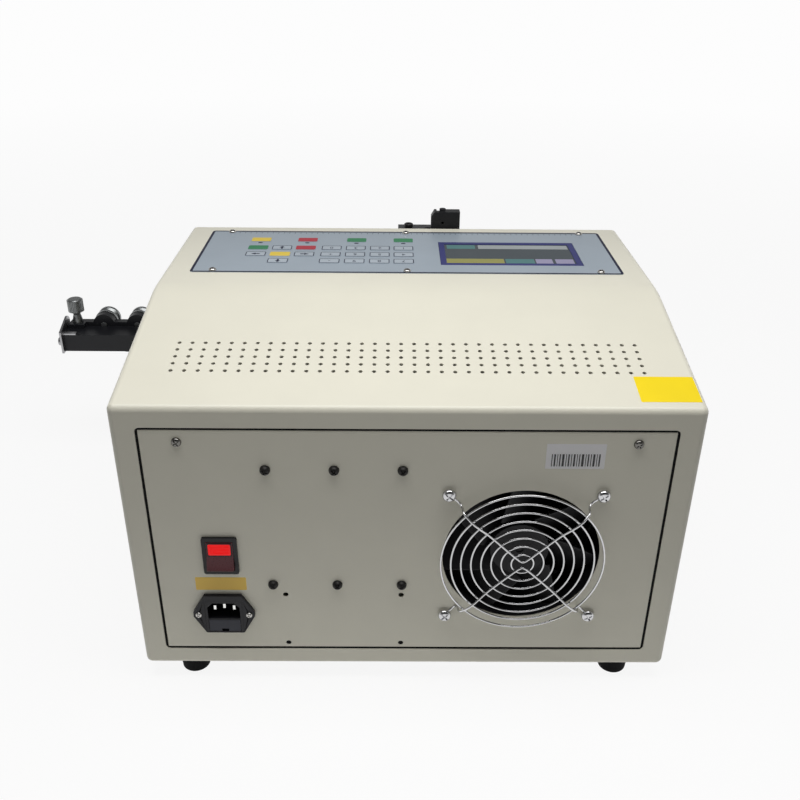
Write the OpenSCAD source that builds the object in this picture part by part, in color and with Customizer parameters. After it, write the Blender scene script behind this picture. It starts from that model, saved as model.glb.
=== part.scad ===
// Benchtop machine that feeds, cuts and strips wire.
// A folded sheet steel casing carries the control panel on top, the mains inlet, switch, drivers and fan
// at the rear, and the wire feed, cutter tower and straightener along its front wall.
// Frame: +X to the right and +Y to the rear as the operator stands at the front, +Z up from the floor,
// origin under the middle of the whole machine.

/* [Casing] */
// Width of the casing
casing_w = 392; // [386:1:410]
// Depth of the casing from its front wall to its rear face
casing_d = 302; // [298:1:320]
// Height of the rear wall over the casing's underside
rear_h = 221; // [218:1:230]
// Height of the flat top over the casing's underside
top_h = 249; // [246:1:256]
// Level run of the slanted rear part of the top
slant_run = 145; // [135:1:150]
// Thickness of the sheet steel
sheet = 1.5; // [1.2:0.1:2]
// Radius of the folded edges
fold_r = 5; // [4:0.5:7]
// Radius of the bend between the slant and the flat top
bend_r = 120; // [80:5:140]
// Width of the rear flange at the sides
flange_side = 17; // [15:0.5:19]
// Width of the rear flange at the top and the bottom
flange_z = 15.3; // [14:0.1:17]
// Width of the inner lips that carry the base plate
lip_w = 48; // [46:1:60]

/* [Vents] */
// Vent holes in each row
vent_columns = 36; // [10:1:38]
// Rows of vent holes on the slant
vent_rows = 5; // [1:1:7]
// Diameter of a vent hole
vent_d = 2.9; // [2:0.1:4]
// Distance between vent columns
vent_pitch_x = 9.2; // [8:0.1:9.6]
// Distance between vent rows along the slant
vent_pitch_y = 8.15; // [6:0.05:10]
// Distance of the first vent row from the rear fold
vent_start = 39.5; // [20:0.5:50]

/* [Feet] */
// Radius of a rubber foot
foot_r = 11.3; // [9:0.1:12]
// Height of a rubber foot
foot_h = 14; // [10:0.5:20]
// Distance of a foot's axis from the casing's side
foot_inset_x = 34; // [26:1:35]
// Distance of a foot's axis from the front wall and the rear face
foot_inset_y = 16.2; // [16:0.1:24]

/* [Rear panel] */
// Gap around the rear panel in its opening
panel_gap = 1.2; // [0.3:0.1:1.5]
// Radius of the opening's corners
opening_r = 3.5; // [2:0.1:5]
// Depth of the panel's outer face behind the rear flange
panel_recess = 0.4; // [0.2:0.05:0.6]
// Width of the ledge behind the panel's edge
ledge_w = 14; // [12:0.5:18]
// Distance of the panel's screws from its side edges
panel_screw_inset = 25.3; // [20:0.1:30]
// Distance of the panel's screws from its top edge
panel_screw_drop = 9.6; // [8:0.1:10.5]
// Diameter of the spare holes near the bottom of the panel
spare_d = 4; // [3:0.1:5]
// Level distance between the spare holes
spare_span_x = 83.6; // [70:0.1:90]
// Upright distance between the spare holes
spare_span_z = 45.7; // [40:0.1:48]
// Distance of the spare holes' middle from the centre plane
spare_x = 45.2; // [40:0.1:50]
// Height of the spare holes' middle over the casing's underside
spare_h = 44.2; // [43:0.1:46]

/* [Fan] */
// Side of the fan's square frame
fan_size = 120; // [118:0.5:122]
// Depth of the fan's frame
fan_t = 38; // [30:1:40]
// Distance between the fan's screws
fan_pitch = 105; // [103:0.1:107]
// Distance of the fan's axis from the casing's left side
fan_side = 115; // [110:0.5:118]
// Height of the fan's axis over the casing's underside
fan_h = 102.5; // [95:0.5:110]
// Number of rings in the wire guard
guard_rings = 8; // [5:1:8]
// Radius of the innermost ring
guard_first_r = 7.8; // [6:0.1:8.2]
// Distance between the rings
guard_pitch = 7.05; // [5:0.05:7.1]
// Diameter of the ring wire
ring_wire = 1.6; // [1.2:0.1:2.4]
// Diameter of the spoke wire
spoke_wire = 2; // [1.6:0.1:2.6]
// Height of the rings' middle over the panel
guard_lift = 8; // [5:0.1:9]
// Number of fan blades
fan_blades = 7; // [5:1:9]

/* [Mains inlet and switch] */
// Distance of the switch's middle from the casing's right side
switch_side = 64.8; // [56:0.1:68]
// Height of the switch's middle over the casing's underside
switch_h = 102.6; // [98:0.1:120]
// Width of the switch's bezel
switch_w = 24.8; // [23.5:0.1:26]
// Height of the switch's bezel
switch_l = 31.3; // [30.5:0.1:33]
// Swing of the rocker from one side to the other, in degrees
rocker_swing = 20; // [12:1:24]
// Distance of the inlet's middle from the casing's right side
inlet_side = 63.5; // [56:0.1:66]
// Height of the inlet's middle over the casing's underside
inlet_h = 50.5; // [46:0.1:56]
// Width of the inlet's socket
socket_w = 23.4; // [22.6:0.1:24]
// Height of the inlet's socket
socket_l = 14.1; // [13.6:0.1:14.6]
// Depth of the inlet's socket
socket_depth = 15; // [13:0.5:18]
// Height of the fuse drawer's slot
drawer_l = 11; // [10:0.1:11.4]
// Distance between the inlet's screws
inlet_pitch = 36.8; // [36.4:0.1:38]

/* [Motor drivers] */
// Distance of the middle driver from the centre plane
driver_x = 49.3; // [47:0.1:49.6]
// Distance between the drivers
driver_pitch = 46.2; // [44:0.1:47]
// Width of a driver
driver_w = 33; // [26:0.5:33.5]
// Depth of a driver
driver_d = 75; // [60:1:90]
// Height of a driver
driver_l = 108; // [104:1:110]
// Upright distance between a driver's two bolts
driver_bolt_span = 97; // [90:0.5:100]
// Height of the drivers' middle over the casing's underside
driver_h = 125.1; // [122:0.1:130]

/* [Control panel] */
// Width of the control film
film_w = 350; // [340:1:360]
// Depth of the control film
film_d = 109.4; // [106:0.1:112]
// Distance of the film's front edge from the front wall
film_front = 16.2; // [14:0.1:20]
// Thickness of the control film
film_t = 0.5; // [0.3:0.1:0.8]
// Height of a key's dome over the film
key_rise = 0.3; // [0.2:0.05:0.5]
// Width of a key
key_w = 17.5; // [14:0.1:18]
// Depth of a key
key_d = 11; // [9:0.1:13]
// Width of the display
display_w = 118; // [110:0.5:120]
// Depth of the display
display_d = 60; // [56:0.5:64]
// Height of the display module under the top sheet
display_t = 13; // [8:0.5:16]
// Distance of the display's middle from the centre plane, towards the left
display_off = 88; // [86:0.5:92]

/* [Wire feed] */
// Height of the wire over the casing's underside
wire_h = 122.5; // [121:0.5:124]
// Distance of the wire in front of the front wall
wire_out = 50.5; // [49:0.5:52]
// Distance of the cutter's plane from the centre plane, towards the left
cutter_off = 23; // [20:0.5:26]
// Distance of each pair of feed rollers from the cutter
feed_reach = 95; // [94:0.5:98]
// Radius of a feed roller
roller_r = 16; // [15:0.25:16.5]
// Width of a feed roller
roller_w = 20; // [16:0.5:21]
// Gap between two feed rollers at rest
nip = 1; // [0.5:0.1:2]
// Radius of a feed shaft
shaft_r = 6; // [5:0.25:6.5]
// Teeth of a feed gear
gear_teeth = 22; // [20:2:26]
// Teeth of a motor's pinion
pinion_teeth = 16; // [16:2:18]
// Width of the gears
gear_w = 10; // [6:0.5:10.5]
// Thickness of the front mechanism plate
plate_t = 12; // [10:0.5:12.5]
// Travel of an upper feed roller
roller_lift = 2.5; // [1:0.25:3]
// Radius of a pressure knob's head
knob_r = 11; // [9:0.25:11.5]
// Radius of the bore of a wire guide
guide_r = 4.5; // [3.5:0.1:5]
// Side of a stepper motor's flange
motor_w = 57; // [54:0.5:57.5]
// Length of a feed motor
feed_motor_l = 56; // [45:1:60]

/* [Cutter] */
// Travel of each cutter slide
blade_travel = 9; // [6:0.5:9.5]
// Distance of a blade's tips from the wire at rest
blade_rest = 3; // [2.5:0.1:3.5]
// Depth of the notch in a blade
notch_depth = 6; // [4:0.25:7]
// Thickness of a blade
blade_t = 2.9; // [2:0.1:3.2]
// Radius of the tower's guide posts
post_r = 5; // [4:0.25:5.5]
// Distance between the guide posts
post_span = 38; // [34:0.5:39]
// Radius of the lead screw
lead_r = 6; // [5:0.25:6.5]
// Length of the cutter's motor
cutter_motor_l = 45; // [38:1:45]

/* [Straightener] */
// Reach of the straightener's bar over the casing's right side
bar_reach = 144; // [130:1:160]
// Radius of a straightener roller
sroller_r = 11.5; // [10:0.25:12]
// Level distance between two neighbouring straightener rollers
sroller_step = 17; // [16.5:0.25:19]
// Radius of a straightener axle
axle_r = 3; // [2:0.25:3.5]
// Radius of the eyelet that the wire enters by
eyelet_r = 4; // [3:0.1:5]
// Radius of the thumb screw's knurled head
thumb_r = 7.75; // [7:0.25:8.5]

/* [Hidden] */
$fn = 48;

// Fits: a running shaft in its hole, a loose screw in its hole, a sliding face, a hair's breadth
running = 0.05;
loose = 0.1;
sliding = 0.2;
touch = 0.05;
over = 1;

// Faces of the casing
side_x = casing_w / 2;
rear_y = casing_d / 2;
front_y = -casing_d / 2;
inner_front_y = front_y + sheet;
roof_z = foot_h + top_h;
inner_roof_z = roof_z - sheet;
rear_top_z = foot_h + rear_h;
slope = (top_h - rear_h) / slant_run;
slant_a = atan(slope);
bend_y = rear_y - slant_run - bend_r * tan(slant_a / 2);
base_z = foot_h + sheet;
base_top_z = base_z + sheet;

// Rear opening, panel and what sits on it
opening_x = side_x - flange_side;
opening_low = foot_h + flange_z;
opening_high = rear_top_z - flange_z;
panel_y = rear_y - panel_recess;
panel_in_y = rear_y - sheet;
panel_x = opening_x - panel_gap;
panel_high = opening_high - panel_gap;
ledge_out = 7;
panel_screw_x = panel_x - panel_screw_inset;
panel_screw_z = panel_high - panel_screw_drop;
small_screw_r = 1.5;
small_head_r = 3;
small_head_h = 1.8;
bolt_r = 2;
bolt_head_r = 3.65;
bolt_head_h = 4;
bolt_grip = 8;

fan_x = fan_side - side_x;
fan_z = foot_h + fan_h;
fan_wall = 2;
fan_hole_step = 2.5;
fan_bore_r = fan_size / 2 - fan_wall;
fan_hole_r = fan_bore_r - fan_hole_step;
fan_hub_r = 21;
fan_pin_r = 3;
fan_floor = 4;
fan_tip_gap = 1.5;
fan_blade_t = 1.6;
fan_blade_pitch = 34;
fan_screw_r = 2;
fan_head_r = 5.2;
fan_head_h = 3;
eyelet_wire_r = spoke_wire / 2;
eyelet_ring_r = fan_screw_r + loose + eyelet_wire_r;
ring_y = panel_y + guard_lift;
spoke_y = ring_y + ring_wire / 2 + touch + spoke_wire / 2;
guard_outer_r = guard_first_r + (guard_rings - 1) * guard_pitch;
spoke_gap = 2.1;

switch_x = side_x - switch_side;
switch_z = foot_h + switch_h;
switch_bezel = 2;
switch_lip_w = 1.3;
switch_lip_l = 1.15;
switch_body_w = switch_w - 2 * switch_lip_w;
switch_body_l = switch_l - 2 * switch_lip_l;
switch_depth = 20;
switch_wall = 1.6;
rocker_end = 1.7;
rocker_clear = 0.3;
rocker_in = 2;
rocker_w = switch_body_w - 2 * switch_wall;
rocker_r = switch_body_l / 2 - rocker_end;
rocker_y = panel_y - rocker_in;
rocker_face = 4.2;
rocker_back = 6;
trunnion_r = 1.5;

inlet_x = side_x - inlet_side;
inlet_z = foot_h + inlet_h;
inlet_flange_t = 3;
inlet_face_y = panel_y + inlet_flange_t;
inlet_ear = 3.9;
inlet_ear_half = 2;
inlet_rim = 10;
inlet_wall = 2;
inlet_floor = 0.6;
socket_rise = 3.4;
socket_rib = 1.1;
socket_corner = 4;
inlet_tip_x = inlet_pitch / 2 + inlet_ear;
inlet_top = socket_l / 2 + inlet_rim;
inlet_body_w = socket_w + 2 * inlet_wall;
socket_z = inlet_z + socket_rise;
socket_low = socket_z - socket_l / 2;
drawer_high = socket_low - socket_rib;
drawer_low = drawer_high - drawer_l;
inlet_body_high = socket_z + socket_l / 2 + inlet_wall;
inlet_body_low = drawer_low - inlet_floor;
inlet_depth = 22;
drawer_depth = 18;
pin_w = 2;
pin_l = 4;
pin_step = 7;
pin_rise = 1.4;
pin_reach = 11;

driver_z = foot_h + driver_h;
driver_wall = 5;
driver_fins = 6;

// Power supply on the base plate
supply_w = 115;
supply_d = 200;
supply_h = 30;
supply_side = 26;
supply_rear = 44;

// Control panel on the flat top
film_x = -0.8;
film_y = front_y + film_front + film_d / 2;
film_z = roof_z + film_t;
film_r = 3;
film_screw_inset_x = 18;
film_screw_inset_y = 4;
film_screw_x = film_w / 2 - film_screw_inset_x;
film_screw_y = film_d / 2 - film_screw_inset_y;
display_shift = 4.6;
display_x = -display_off;
display_y = film_y + display_shift;
display_fit = 0.2;
display_flange = 6;
display_flange_t = 2;
display_frame = 5;
display_sink = 0.8;
key_columns = [127, 106.5, 86, 63.7, 42.9, 22.1, 1.8];
key_rows = [-29, -7, 10, 27];
key_cells = [
    [0, 0], [2, 0], [4, 0], [6, 0],
    [0, 1], [1, 1], [2, 1], [3, 1], [4, 1], [5, 1], [6, 1],
    [0, 2], [1, 2], [2, 2], [3, 2], [4, 2], [5, 2], [6, 2],
    [1, 3], [3, 3], [4, 3], [5, 3], [6, 3]
];
board_t = 1.6;
board_drop = 8;
board_edge = 12;
board_margin = 6;
board_x0 = key_columns[6] - key_w / 2 - board_margin;
board_x1 = key_columns[0] + key_w / 2 + board_margin;
board_y0 = film_y - film_d / 2 + board_edge;
board_y1 = film_y + film_d / 2 - board_edge;

// Wire line and feed, measured in front of the front wall
function out(d) = front_y - d;
wire_z = foot_h + wire_h;
wire_y = out(wire_out);
cutter_x = -cutter_off;
feed_x = [cutter_x + feed_reach, cutter_x - feed_reach];
lower_z = wire_z - roller_r - nip / 2;
upper_z = wire_z + roller_r + nip / 2;
gear_m = (upper_z - lower_z) / gear_teeth;
pinion_z = lower_z - gear_m * (gear_teeth + pinion_teeth) / 2;
gear_set = 3;
gear_y = front_y + gear_set;
gear_addendum = 0.8;
gear_dedendum = 1.07;
gear_backlash = 0.22;
pressure_angle = 20;
shaft_end = 1;
shaft_in = gear_set + gear_w + shaft_end;
shaft_rim = 3;
shaft_cap_r = shaft_r + shaft_rim;
shaft_cap = 3;
roller_near = wire_out - roller_w / 2;
roller_far = wire_out + roller_w / 2;
roller_flutes = 48;
flute_depth = 0.6;
roller_fit = 0.02;

plate_left = 47;
plate_right = 103;
plate_down = 74.5;
plate_up = 108.5;
plate_r = 4;
plate_x0 = feed_x[1] - plate_left;
plate_x1 = feed_x[0] + plate_right;
plate_low = wire_z - plate_down;
plate_high = wire_z + plate_up;
plate_bolt_inset = 10;
plate_bolts = [
    for (x = [plate_x0 + plate_bolt_inset, plate_x1 - plate_bolt_inset])
        for (z = [plate_low + plate_bolt_inset, plate_high - plate_bolt_inset]) [x, z]
];
m5_r = 2.5;
m5_head_r = 4.25;
m5_head_h = 5;
m5_grip = 6;

motor_gap = 4;
motor_face = shaft_in + motor_gap;
motor_shaft_r = 3.175;
motor_boss_r = 19.05;
motor_boss_h = 1.6;
motor_screw_edge = 4.93;
motor_screw_pitch = motor_w - 2 * motor_screw_edge;
standoff_r = 4;
standoff_side = 2;
standoff_below = 0.4;
gear_above = 8;
front_opening = [
    feed_x[1] - motor_screw_pitch / 2 - standoff_r - standoff_side,
    feed_x[0] + motor_screw_pitch / 2 + standoff_r + standoff_side,
    pinion_z - motor_screw_pitch / 2 - standoff_r - standoff_below,
    upper_z + gear_m * gear_teeth / 2 + gear_above
];

block_w = 30;
block_near = 1;
block_play = 0.3;
block_flange_w = 40;
block_down = 12;
block_up = 20;
block_low = upper_z - block_down;
block_high = upper_z + block_up;
block_far = 34;
knob_out = 26;
knob_screw_r = 3;
block_hole = 12;
bridge_w = 36;
bridge_far = 36;
bridge_clear = 15;
bridge_t = 10;
bridge_low = block_high + bridge_clear;
bridge_high = bridge_low + bridge_t;
knob_h = 14;
knob_top = 2;

guide_half = 8;
guide_cover = 7.5;
guide_far = wire_out + guide_cover;
guide_gap = 9;
guide_gap_inner = 10;
guide_gap_exit = 6;
guide_len = 20;
guide_exit_len = 18;
guide_from_cutter = 37;
guide_spans = [
    [feed_x[0] + roller_r + guide_gap, feed_x[0] + roller_r + guide_gap + guide_len],
    [cutter_x + guide_from_cutter, feed_x[0] - roller_r - guide_gap_inner],
    [feed_x[1] + roller_r + guide_gap_inner, cutter_x - guide_from_cutter],
    [feed_x[1] - roller_r - guide_gap_exit - guide_exit_len, feed_x[1] - roller_r - guide_gap_exit]
];

// Cutter tower
tower_w = 58;
tower_far = 69;
tower_x0 = cutter_x - tower_w / 2;
tower_x1 = cutter_x + tower_w / 2;
tower_drop = 2;
tower_base_t = 18;
tower_low = plate_low - tower_drop;
tower_base_high = tower_low + tower_base_t;
tower_top_t = 8;
tower_top_near = 1;
tower_top_far = 42;
tower_top_z = plate_high + tower_top_t;
post_out = 29;
post_y = out(post_out);
slide_w = 54;
slide_near = 18;
slide_far = 40;
slide_start = 20;
slide_h = 32;
lead_start = 4;
sleeve_r = 8;
sleeve_gap = 1;
journal_r = 4;
blade_cover = 10.3;
blade_near = slide_far + sliding;
blade_far = wire_out + blade_cover;
blade_end = 50;
notch_half = 8;
arm_start = 24;
arm_end = 48;
arm_w = 12;
clamp_w = 8;
blade_gap = 0.1;
sensor_size = [26.5, 10.5, 23.5];
sensor_near = 3;
sensor_chamfer = 2.7;
sensor_corner = [2.9, 5];
sensor_screw_x = 16;
sensor_head_r = 2.9;
sensor_head_h = 2;

// Straightener beside the casing
bar_overlap = 50;
bar_behind = 7.5;
bar_down = 7.6;
bar_up = 9.9;
web_t = 8;
web_down = 17;
web_up = 14.5;
bar_bolt_inset = 12;
bar_x0 = plate_x1 - bar_overlap;
bar_x1 = side_x + bar_reach;
bar_far = wire_out - bar_behind;
bar_low = wire_z - bar_down;
bar_high = wire_z + bar_up;
web_near = bar_far - web_t;
web_low = wire_z - web_down;
web_high = wire_z + web_up;
sroller_gap = 1;
sroller_near = bar_far + sroller_gap;
sroller_w = 2 * (wire_out - sroller_near);
groove = 3;
first_sroller = 35;
sroller_x = bar_x1 - first_sroller;
upper_sroller_x = [sroller_x, sroller_x - 2 * sroller_step];
lower_sroller_x = [sroller_x - sroller_step, sroller_x - 3 * sroller_step];
upper_sroller_z = wire_z + sroller_r;
lower_sroller_z = wire_z - sroller_r;
lobe_rim = 0.5;
lobe_r = sroller_r - lobe_rim;
axle_rim = 2;
axle_head_r = axle_r + axle_rim;
axle_head = 3;
axle_seat = 1;
axle_play = 0.4;
thumb_inset = 9;
thumb_boss = 8;
thumb_boss_d = 7.5;
thumb_x = bar_x1 - thumb_inset;
thumb_out = bar_far - thumb_boss_d;
thumb_neck = 12;
thumb_head = 13;
thumb_stem_r = 3;
thumb_stem_down = 4;
thumb_stem_end = 4;
guide_plate_t = 2;
guide_plate_near = 8;
guide_plate_cover = 11.5;
guide_plate_far = wire_out + guide_plate_cover;
guide_screw_head = 4;

// The whole machine's box, whose bottom middle is the origin
mid_x = (bar_x1 + guide_plate_t + guide_screw_head - side_x) / 2;
mid_y = (spoke_y + spoke_wire / 2 + out(tower_far)) / 2;

// Colours
ivory = [0.9, 0.88, 0.8];
panel_grey = [0.62, 0.6, 0.54];
black_metal = [0.1, 0.1, 0.11];
black_plastic = [0.13, 0.13, 0.15];
rubber = [0.06, 0.06, 0.06];
steel = [0.72, 0.73, 0.75];
chrome = [0.85, 0.86, 0.88];
film_blue = [0.62, 0.68, 0.76];
board_green = [0.1, 0.35, 0.2];
brass = [0.75, 0.6, 0.3];
red = [0.75, 0.08, 0.08];

// Helpers

// Places a sub-part, drawn from the casing's middle, in the machine's frame
module framed() {
    translate([-mid_x, -mid_y, 0]) children();
}

module box(low, high) {
    translate(low) cube(high - low);
}

module rod_x(x0, x1, y, z, r) {
    translate([x0, y, z]) rotate([0, 90, 0]) cylinder(h = x1 - x0, r = r);
}

// A rod that runs from its rear end towards the front
module rod_y(rear_end, front_end, x, z, r) {
    translate([x, rear_end, z]) rotate([90, 0, 0]) cylinder(h = rear_end - front_end, r = r);
}

module rod_z(z0, z1, x, y, r) {
    translate([x, y, z0]) cylinder(h = z1 - z0, r = r);
}

// An outline in X and Z, drawn out from its rear end towards the front
module extrude_y(rear_end, front_end) {
    translate([0, rear_end, 0]) rotate([90, 0, 0]) linear_extrude(rear_end - front_end) children();
}

// An outline in Y and Z, drawn out along +X
module extrude_x(x0, x1) {
    translate([x0, 0, 0]) rotate([90, 0, 90]) linear_extrude(x1 - x0) children();
}

function arc(c, r, a0, a1, n) =
    [for (i = [0:n]) c + r * [cos(a0 + (a1 - a0) * i / n), sin(a0 + (a1 - a0) * i / n)]];

function rounded_rect(w, l, r, n = 5) = concat(
    arc([w / 2 - r, l / 2 - r], r, 0, 90, n),
    arc([r - w / 2, l / 2 - r], r, 90, 180, n),
    arc([r - w / 2, r - l / 2], r, 180, 270, n),
    arc([w / 2 - r, r - l / 2], r, 270, 360, n)
);

// Outline of a round grip or roller with straight flutes
function fluted(r, depth, count) = [
    for (i = [0:count - 1]) for (k = [0, 0.3, 0.5, 0.8])
        let (a = 360 * (i + k) / count, q = k < 0.4 ? r : r - depth) q * [cos(a), sin(a)]
];

// Involute gear outline with the middle of a tooth on the +X axis
function involute_angle(q, base) = let (t = sqrt(max(0, q * q / (base * base) - 1))) t * 180 / PI - atan(t);

function gear_points(teeth, m) =
    let (pitch = m * teeth / 2, base = pitch * cos(pressure_angle))
    let (tip = pitch + gear_addendum * m, root = pitch - gear_dedendum * m)
    let (half = 90 / teeth - gear_backlash / (4 * pitch) * 180 / PI + involute_angle(pitch, base))
    let (flank = max(base, root) + 0.01, steps = 4, gap_a = half - involute_angle(flank, base))
    let (radii = [for (s = [0:steps]) flank + (tip - flank) * s / steps])
    let (angles = [for (q = radii) half - involute_angle(q, base)])
    [for (i = [0:teeth - 1]) let (mid = 360 * i / teeth) each concat(
        [root * [cos(mid - gap_a), sin(mid - gap_a)]],
        [for (s = [0:steps]) radii[s] * [cos(mid - angles[s]), sin(mid - angles[s])]],
        [for (s = [steps:-1:0]) radii[s] * [cos(mid + angles[s]), sin(mid + angles[s])]],
        [root * [cos(mid + gap_a), sin(mid + gap_a)]]
    )];

// A wire of round section bent along a path; the path never runs straight along Y
module bent_wire(path, r) {
    sides = 8;
    last = len(path) - 1;
    function along(i) = let (d = path[min(i + 1, last)] - path[max(i - 1, 0)]) d / norm(d);
    function beside(i) = let (s = cross(along(i), [0, 1, 0])) s / norm(s);
    function ring(i) = [for (k = [0:sides - 1]) let (a = 360 * k / sides)
        path[i] + r * (cos(a) * beside(i) + sin(a) * cross(along(i), beside(i)))];
    polyhedron(
        points = [for (i = [0:last]) each ring(i)],
        faces = concat(
            [[for (k = [0:sides - 1]) k]],
            [for (i = [0:last - 1]) for (k = [0:sides - 1])
                let (n = (k + 1) % sides, a = i * sides) [a + k, a + sides + k, a + sides + n, a + n]],
            [[for (k = [sides - 1:-1:0]) last * sides + k]]
        )
    );
}

// Casing

function casing_centres() = concat(
    [
        [rear_y - fold_r, foot_h + fold_r],
        [front_y + fold_r, foot_h + fold_r],
        [front_y + fold_r, roof_z - fold_r],
        [rear_y - fold_r, rear_top_z + slope * fold_r - fold_r * sqrt(1 + slope * slope)]
    ],
    arc([bend_y, roof_z - bend_r], bend_r - fold_r, 90 - slant_a, 90, 4)
);

// A ball whose six outermost points are exact
module ball(r) {
    rotate_extrude($fn = 24) polygon(arc([0, 0], r, -90, 90, 12));
}

module casing_form(r) {
    hull() for (side = [-1, 1]) for (c = casing_centres())
        translate([side * (side_x - fold_r), c[0], c[1]]) ball(r);
}

module vent_holes() {
    for (i = [0:vent_columns - 1]) for (j = [0:vent_rows - 1]) {
        reach = vent_start + j * vent_pitch_y;
        translate([
            (i - (vent_columns - 1) / 2) * vent_pitch_x,
            rear_y - reach * cos(slant_a),
            rear_top_z + reach * sin(slant_a)
        ]) rotate([-slant_a, 0, 0]) cylinder(h = 4 * sheet, d = vent_d, center = true, $fn = 16);
    }
}

module film_screw_places() {
    for (x = [-film_screw_x, 0, film_screw_x]) for (y = [-film_screw_y, film_screw_y])
        translate([film_x + x, film_y + y, 0]) children();
}

module panel_screw_places() {
    for (side = [-1, 1]) translate([side * panel_screw_x, 0, panel_screw_z]) children();
}

// Outline of the rear opening, drawn in by a gap
module rear_opening(gap) {
    translate([0, (opening_low + opening_high) / 2]) polygon(
        rounded_rect(2 * (opening_x - gap), opening_high - opening_low - 2 * gap, opening_r - gap)
    );
}

module casing_shell() color(ivory) framed() {
    difference() {
        union() {
            difference() {
                casing_form(fold_r);
                casing_form(fold_r - sheet);
                extrude_y(rear_y + over, panel_in_y - over) rear_opening(0);
            }
            difference() {
                box(
                    [-opening_x - ledge_out, panel_in_y - sheet, opening_low - ledge_out],
                    [opening_x + ledge_out, panel_in_y, opening_high + ledge_out]
                );
                box(
                    [ledge_w - opening_x, panel_in_y - sheet - over, opening_low + ledge_w],
                    [opening_x - ledge_w, panel_in_y + over, opening_high - ledge_w]
                );
            }
        }
        box(
            [lip_w - side_x, front_y + lip_w, foot_h - over],
            [side_x - lip_w, rear_y - lip_w, base_z + over]
        );
        box(
            [front_opening[0], front_y - over, front_opening[2]],
            [front_opening[1], inner_front_y + over, front_opening[3]]
        );
        translate([display_x, display_y, inner_roof_z])
            cube([display_w + 2 * display_fit, display_d + 2 * display_fit, 4 * sheet], center = true);
        film_screw_places() rod_z(inner_roof_z - over, roof_z + over, 0, 0, small_screw_r + loose);
        panel_screw_places() rod_y(panel_in_y + over, panel_in_y - sheet - over, 0, 0, small_screw_r + loose);
        for (p = plate_bolts) rod_y(inner_front_y + over, front_y - over, p[0], p[1], m5_r + loose);
        vent_holes();
    }
}

module base_plate() color(ivory) framed() {
    clear = fold_r + 0.5;
    box([clear - side_x, front_y + clear, base_z], [side_x - clear, rear_y - clear, base_top_z]);
}

module rubber_feet() color(rubber) framed() {
    screw_recess = 5;
    edge = 0.8;
    rim = 2;
    for (x = [-1, 1]) for (y = [-1, 1])
        translate([x * (side_x - foot_inset_x), y * (rear_y - foot_inset_y), 0]) difference() {
            rotate_extrude() polygon([
                [0, 0], [foot_r - 2 * edge, 0], [foot_r - edge, edge], [foot_r, foot_h - rim],
                [foot_r, foot_h], [0, foot_h]
            ]);
            translate([0, 0, -over]) cylinder(h = foot_h / 2 + over, r = screw_recess);
        }
}

// Rear panel and what is fixed to it

module spare_hole_places() {
    for (x = [-0.5, 0.5]) for (z = [-0.5, 0.5])
        translate([spare_x + x * spare_span_x, 0, foot_h + spare_h + z * spare_span_z]) children();
}

module driver_bolt_places() {
    for (i = [-1:1]) for (z = [-0.5, 0.5])
        translate([driver_x + i * driver_pitch, 0, driver_z + z * driver_bolt_span]) children();
}

module fan_screw_places() {
    for (x = [-0.5, 0.5]) for (z = [-0.5, 0.5])
        translate([fan_x + x * fan_pitch, 0, fan_z + z * fan_pitch]) children();
}

module inlet_screw_places() {
    for (x = [-0.5, 0.5]) translate([inlet_x + x * inlet_pitch, 0, inlet_z]) children();
}

module panel_hole(r) {
    rod_y(panel_y + over, panel_in_y - over, 0, 0, r);
}

module rear_panel() color(panel_grey) framed() difference() {
    extrude_y(panel_y, panel_in_y) rear_opening(panel_gap);
    translate([fan_x, 0, fan_z]) panel_hole(fan_hole_r);
    fan_screw_places() panel_hole(fan_screw_r + loose);
    driver_bolt_places() panel_hole(bolt_r + loose);
    spare_hole_places() panel_hole(spare_d / 2);
    panel_screw_places() panel_hole(small_screw_r + loose);
    inlet_screw_places() panel_hole(small_screw_r + loose);
    box(
        [switch_x - switch_body_w / 2 - sliding, panel_in_y - over, switch_z - switch_body_l / 2 - sliding],
        [switch_x + switch_body_w / 2 + sliding, panel_y + over, switch_z + switch_body_l / 2 + sliding]
    );
    box(
        [inlet_x - inlet_body_w / 2 - sliding, panel_in_y - over, inlet_body_low - sliding],
        [inlet_x + inlet_body_w / 2 + sliding, panel_y + over, inlet_body_high + sliding]
    );
}

// A pan head screw along +Y, its head standing on the face at y = 0
module pan_screw(r, head_r, head_h, grip) {
    dome = head_h * 0.45;
    rotate([-90, 0, 0]) rotate_extrude() polygon(concat(
        [[0, -grip], [r, -grip], [r, 0], [head_r, 0], [head_r, head_h - dome]],
        [[head_r * 0.8, head_h - dome * 0.35], [head_r * 0.5, head_h], [0, head_h]]
    ));
}

module panel_screws() color(steel) framed() {
    film_screw_places() translate([0, 0, film_z]) rotate([90, 0, 0])
        pan_screw(small_screw_r, small_head_r, small_head_h, film_t + sheet + 4);
    panel_screw_places() translate([0, panel_y, 0])
        pan_screw(small_screw_r, small_head_r, small_head_h, panel_y - panel_in_y + sheet + 3);
    inlet_screw_places() translate([0, inlet_face_y, 0])
        pan_screw(small_screw_r, small_head_r, small_head_h, inlet_face_y - panel_in_y + 4);
}

module driver_bolts() color(black_metal) framed() driver_bolt_places()
    translate([0, panel_y, 0]) pan_screw(bolt_r, bolt_head_r, bolt_head_h, panel_y - panel_in_y + bolt_grip);

// One finned heat sink with its cover, seen from above
module driver_outline() {
    fin = driver_w / (2 * driver_fins - 1);
    square([driver_w, driver_d - driver_wall]);
    for (i = [0:driver_fins - 1]) translate([2 * i * fin, -driver_wall]) square([fin, driver_wall + over]);
}

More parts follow.
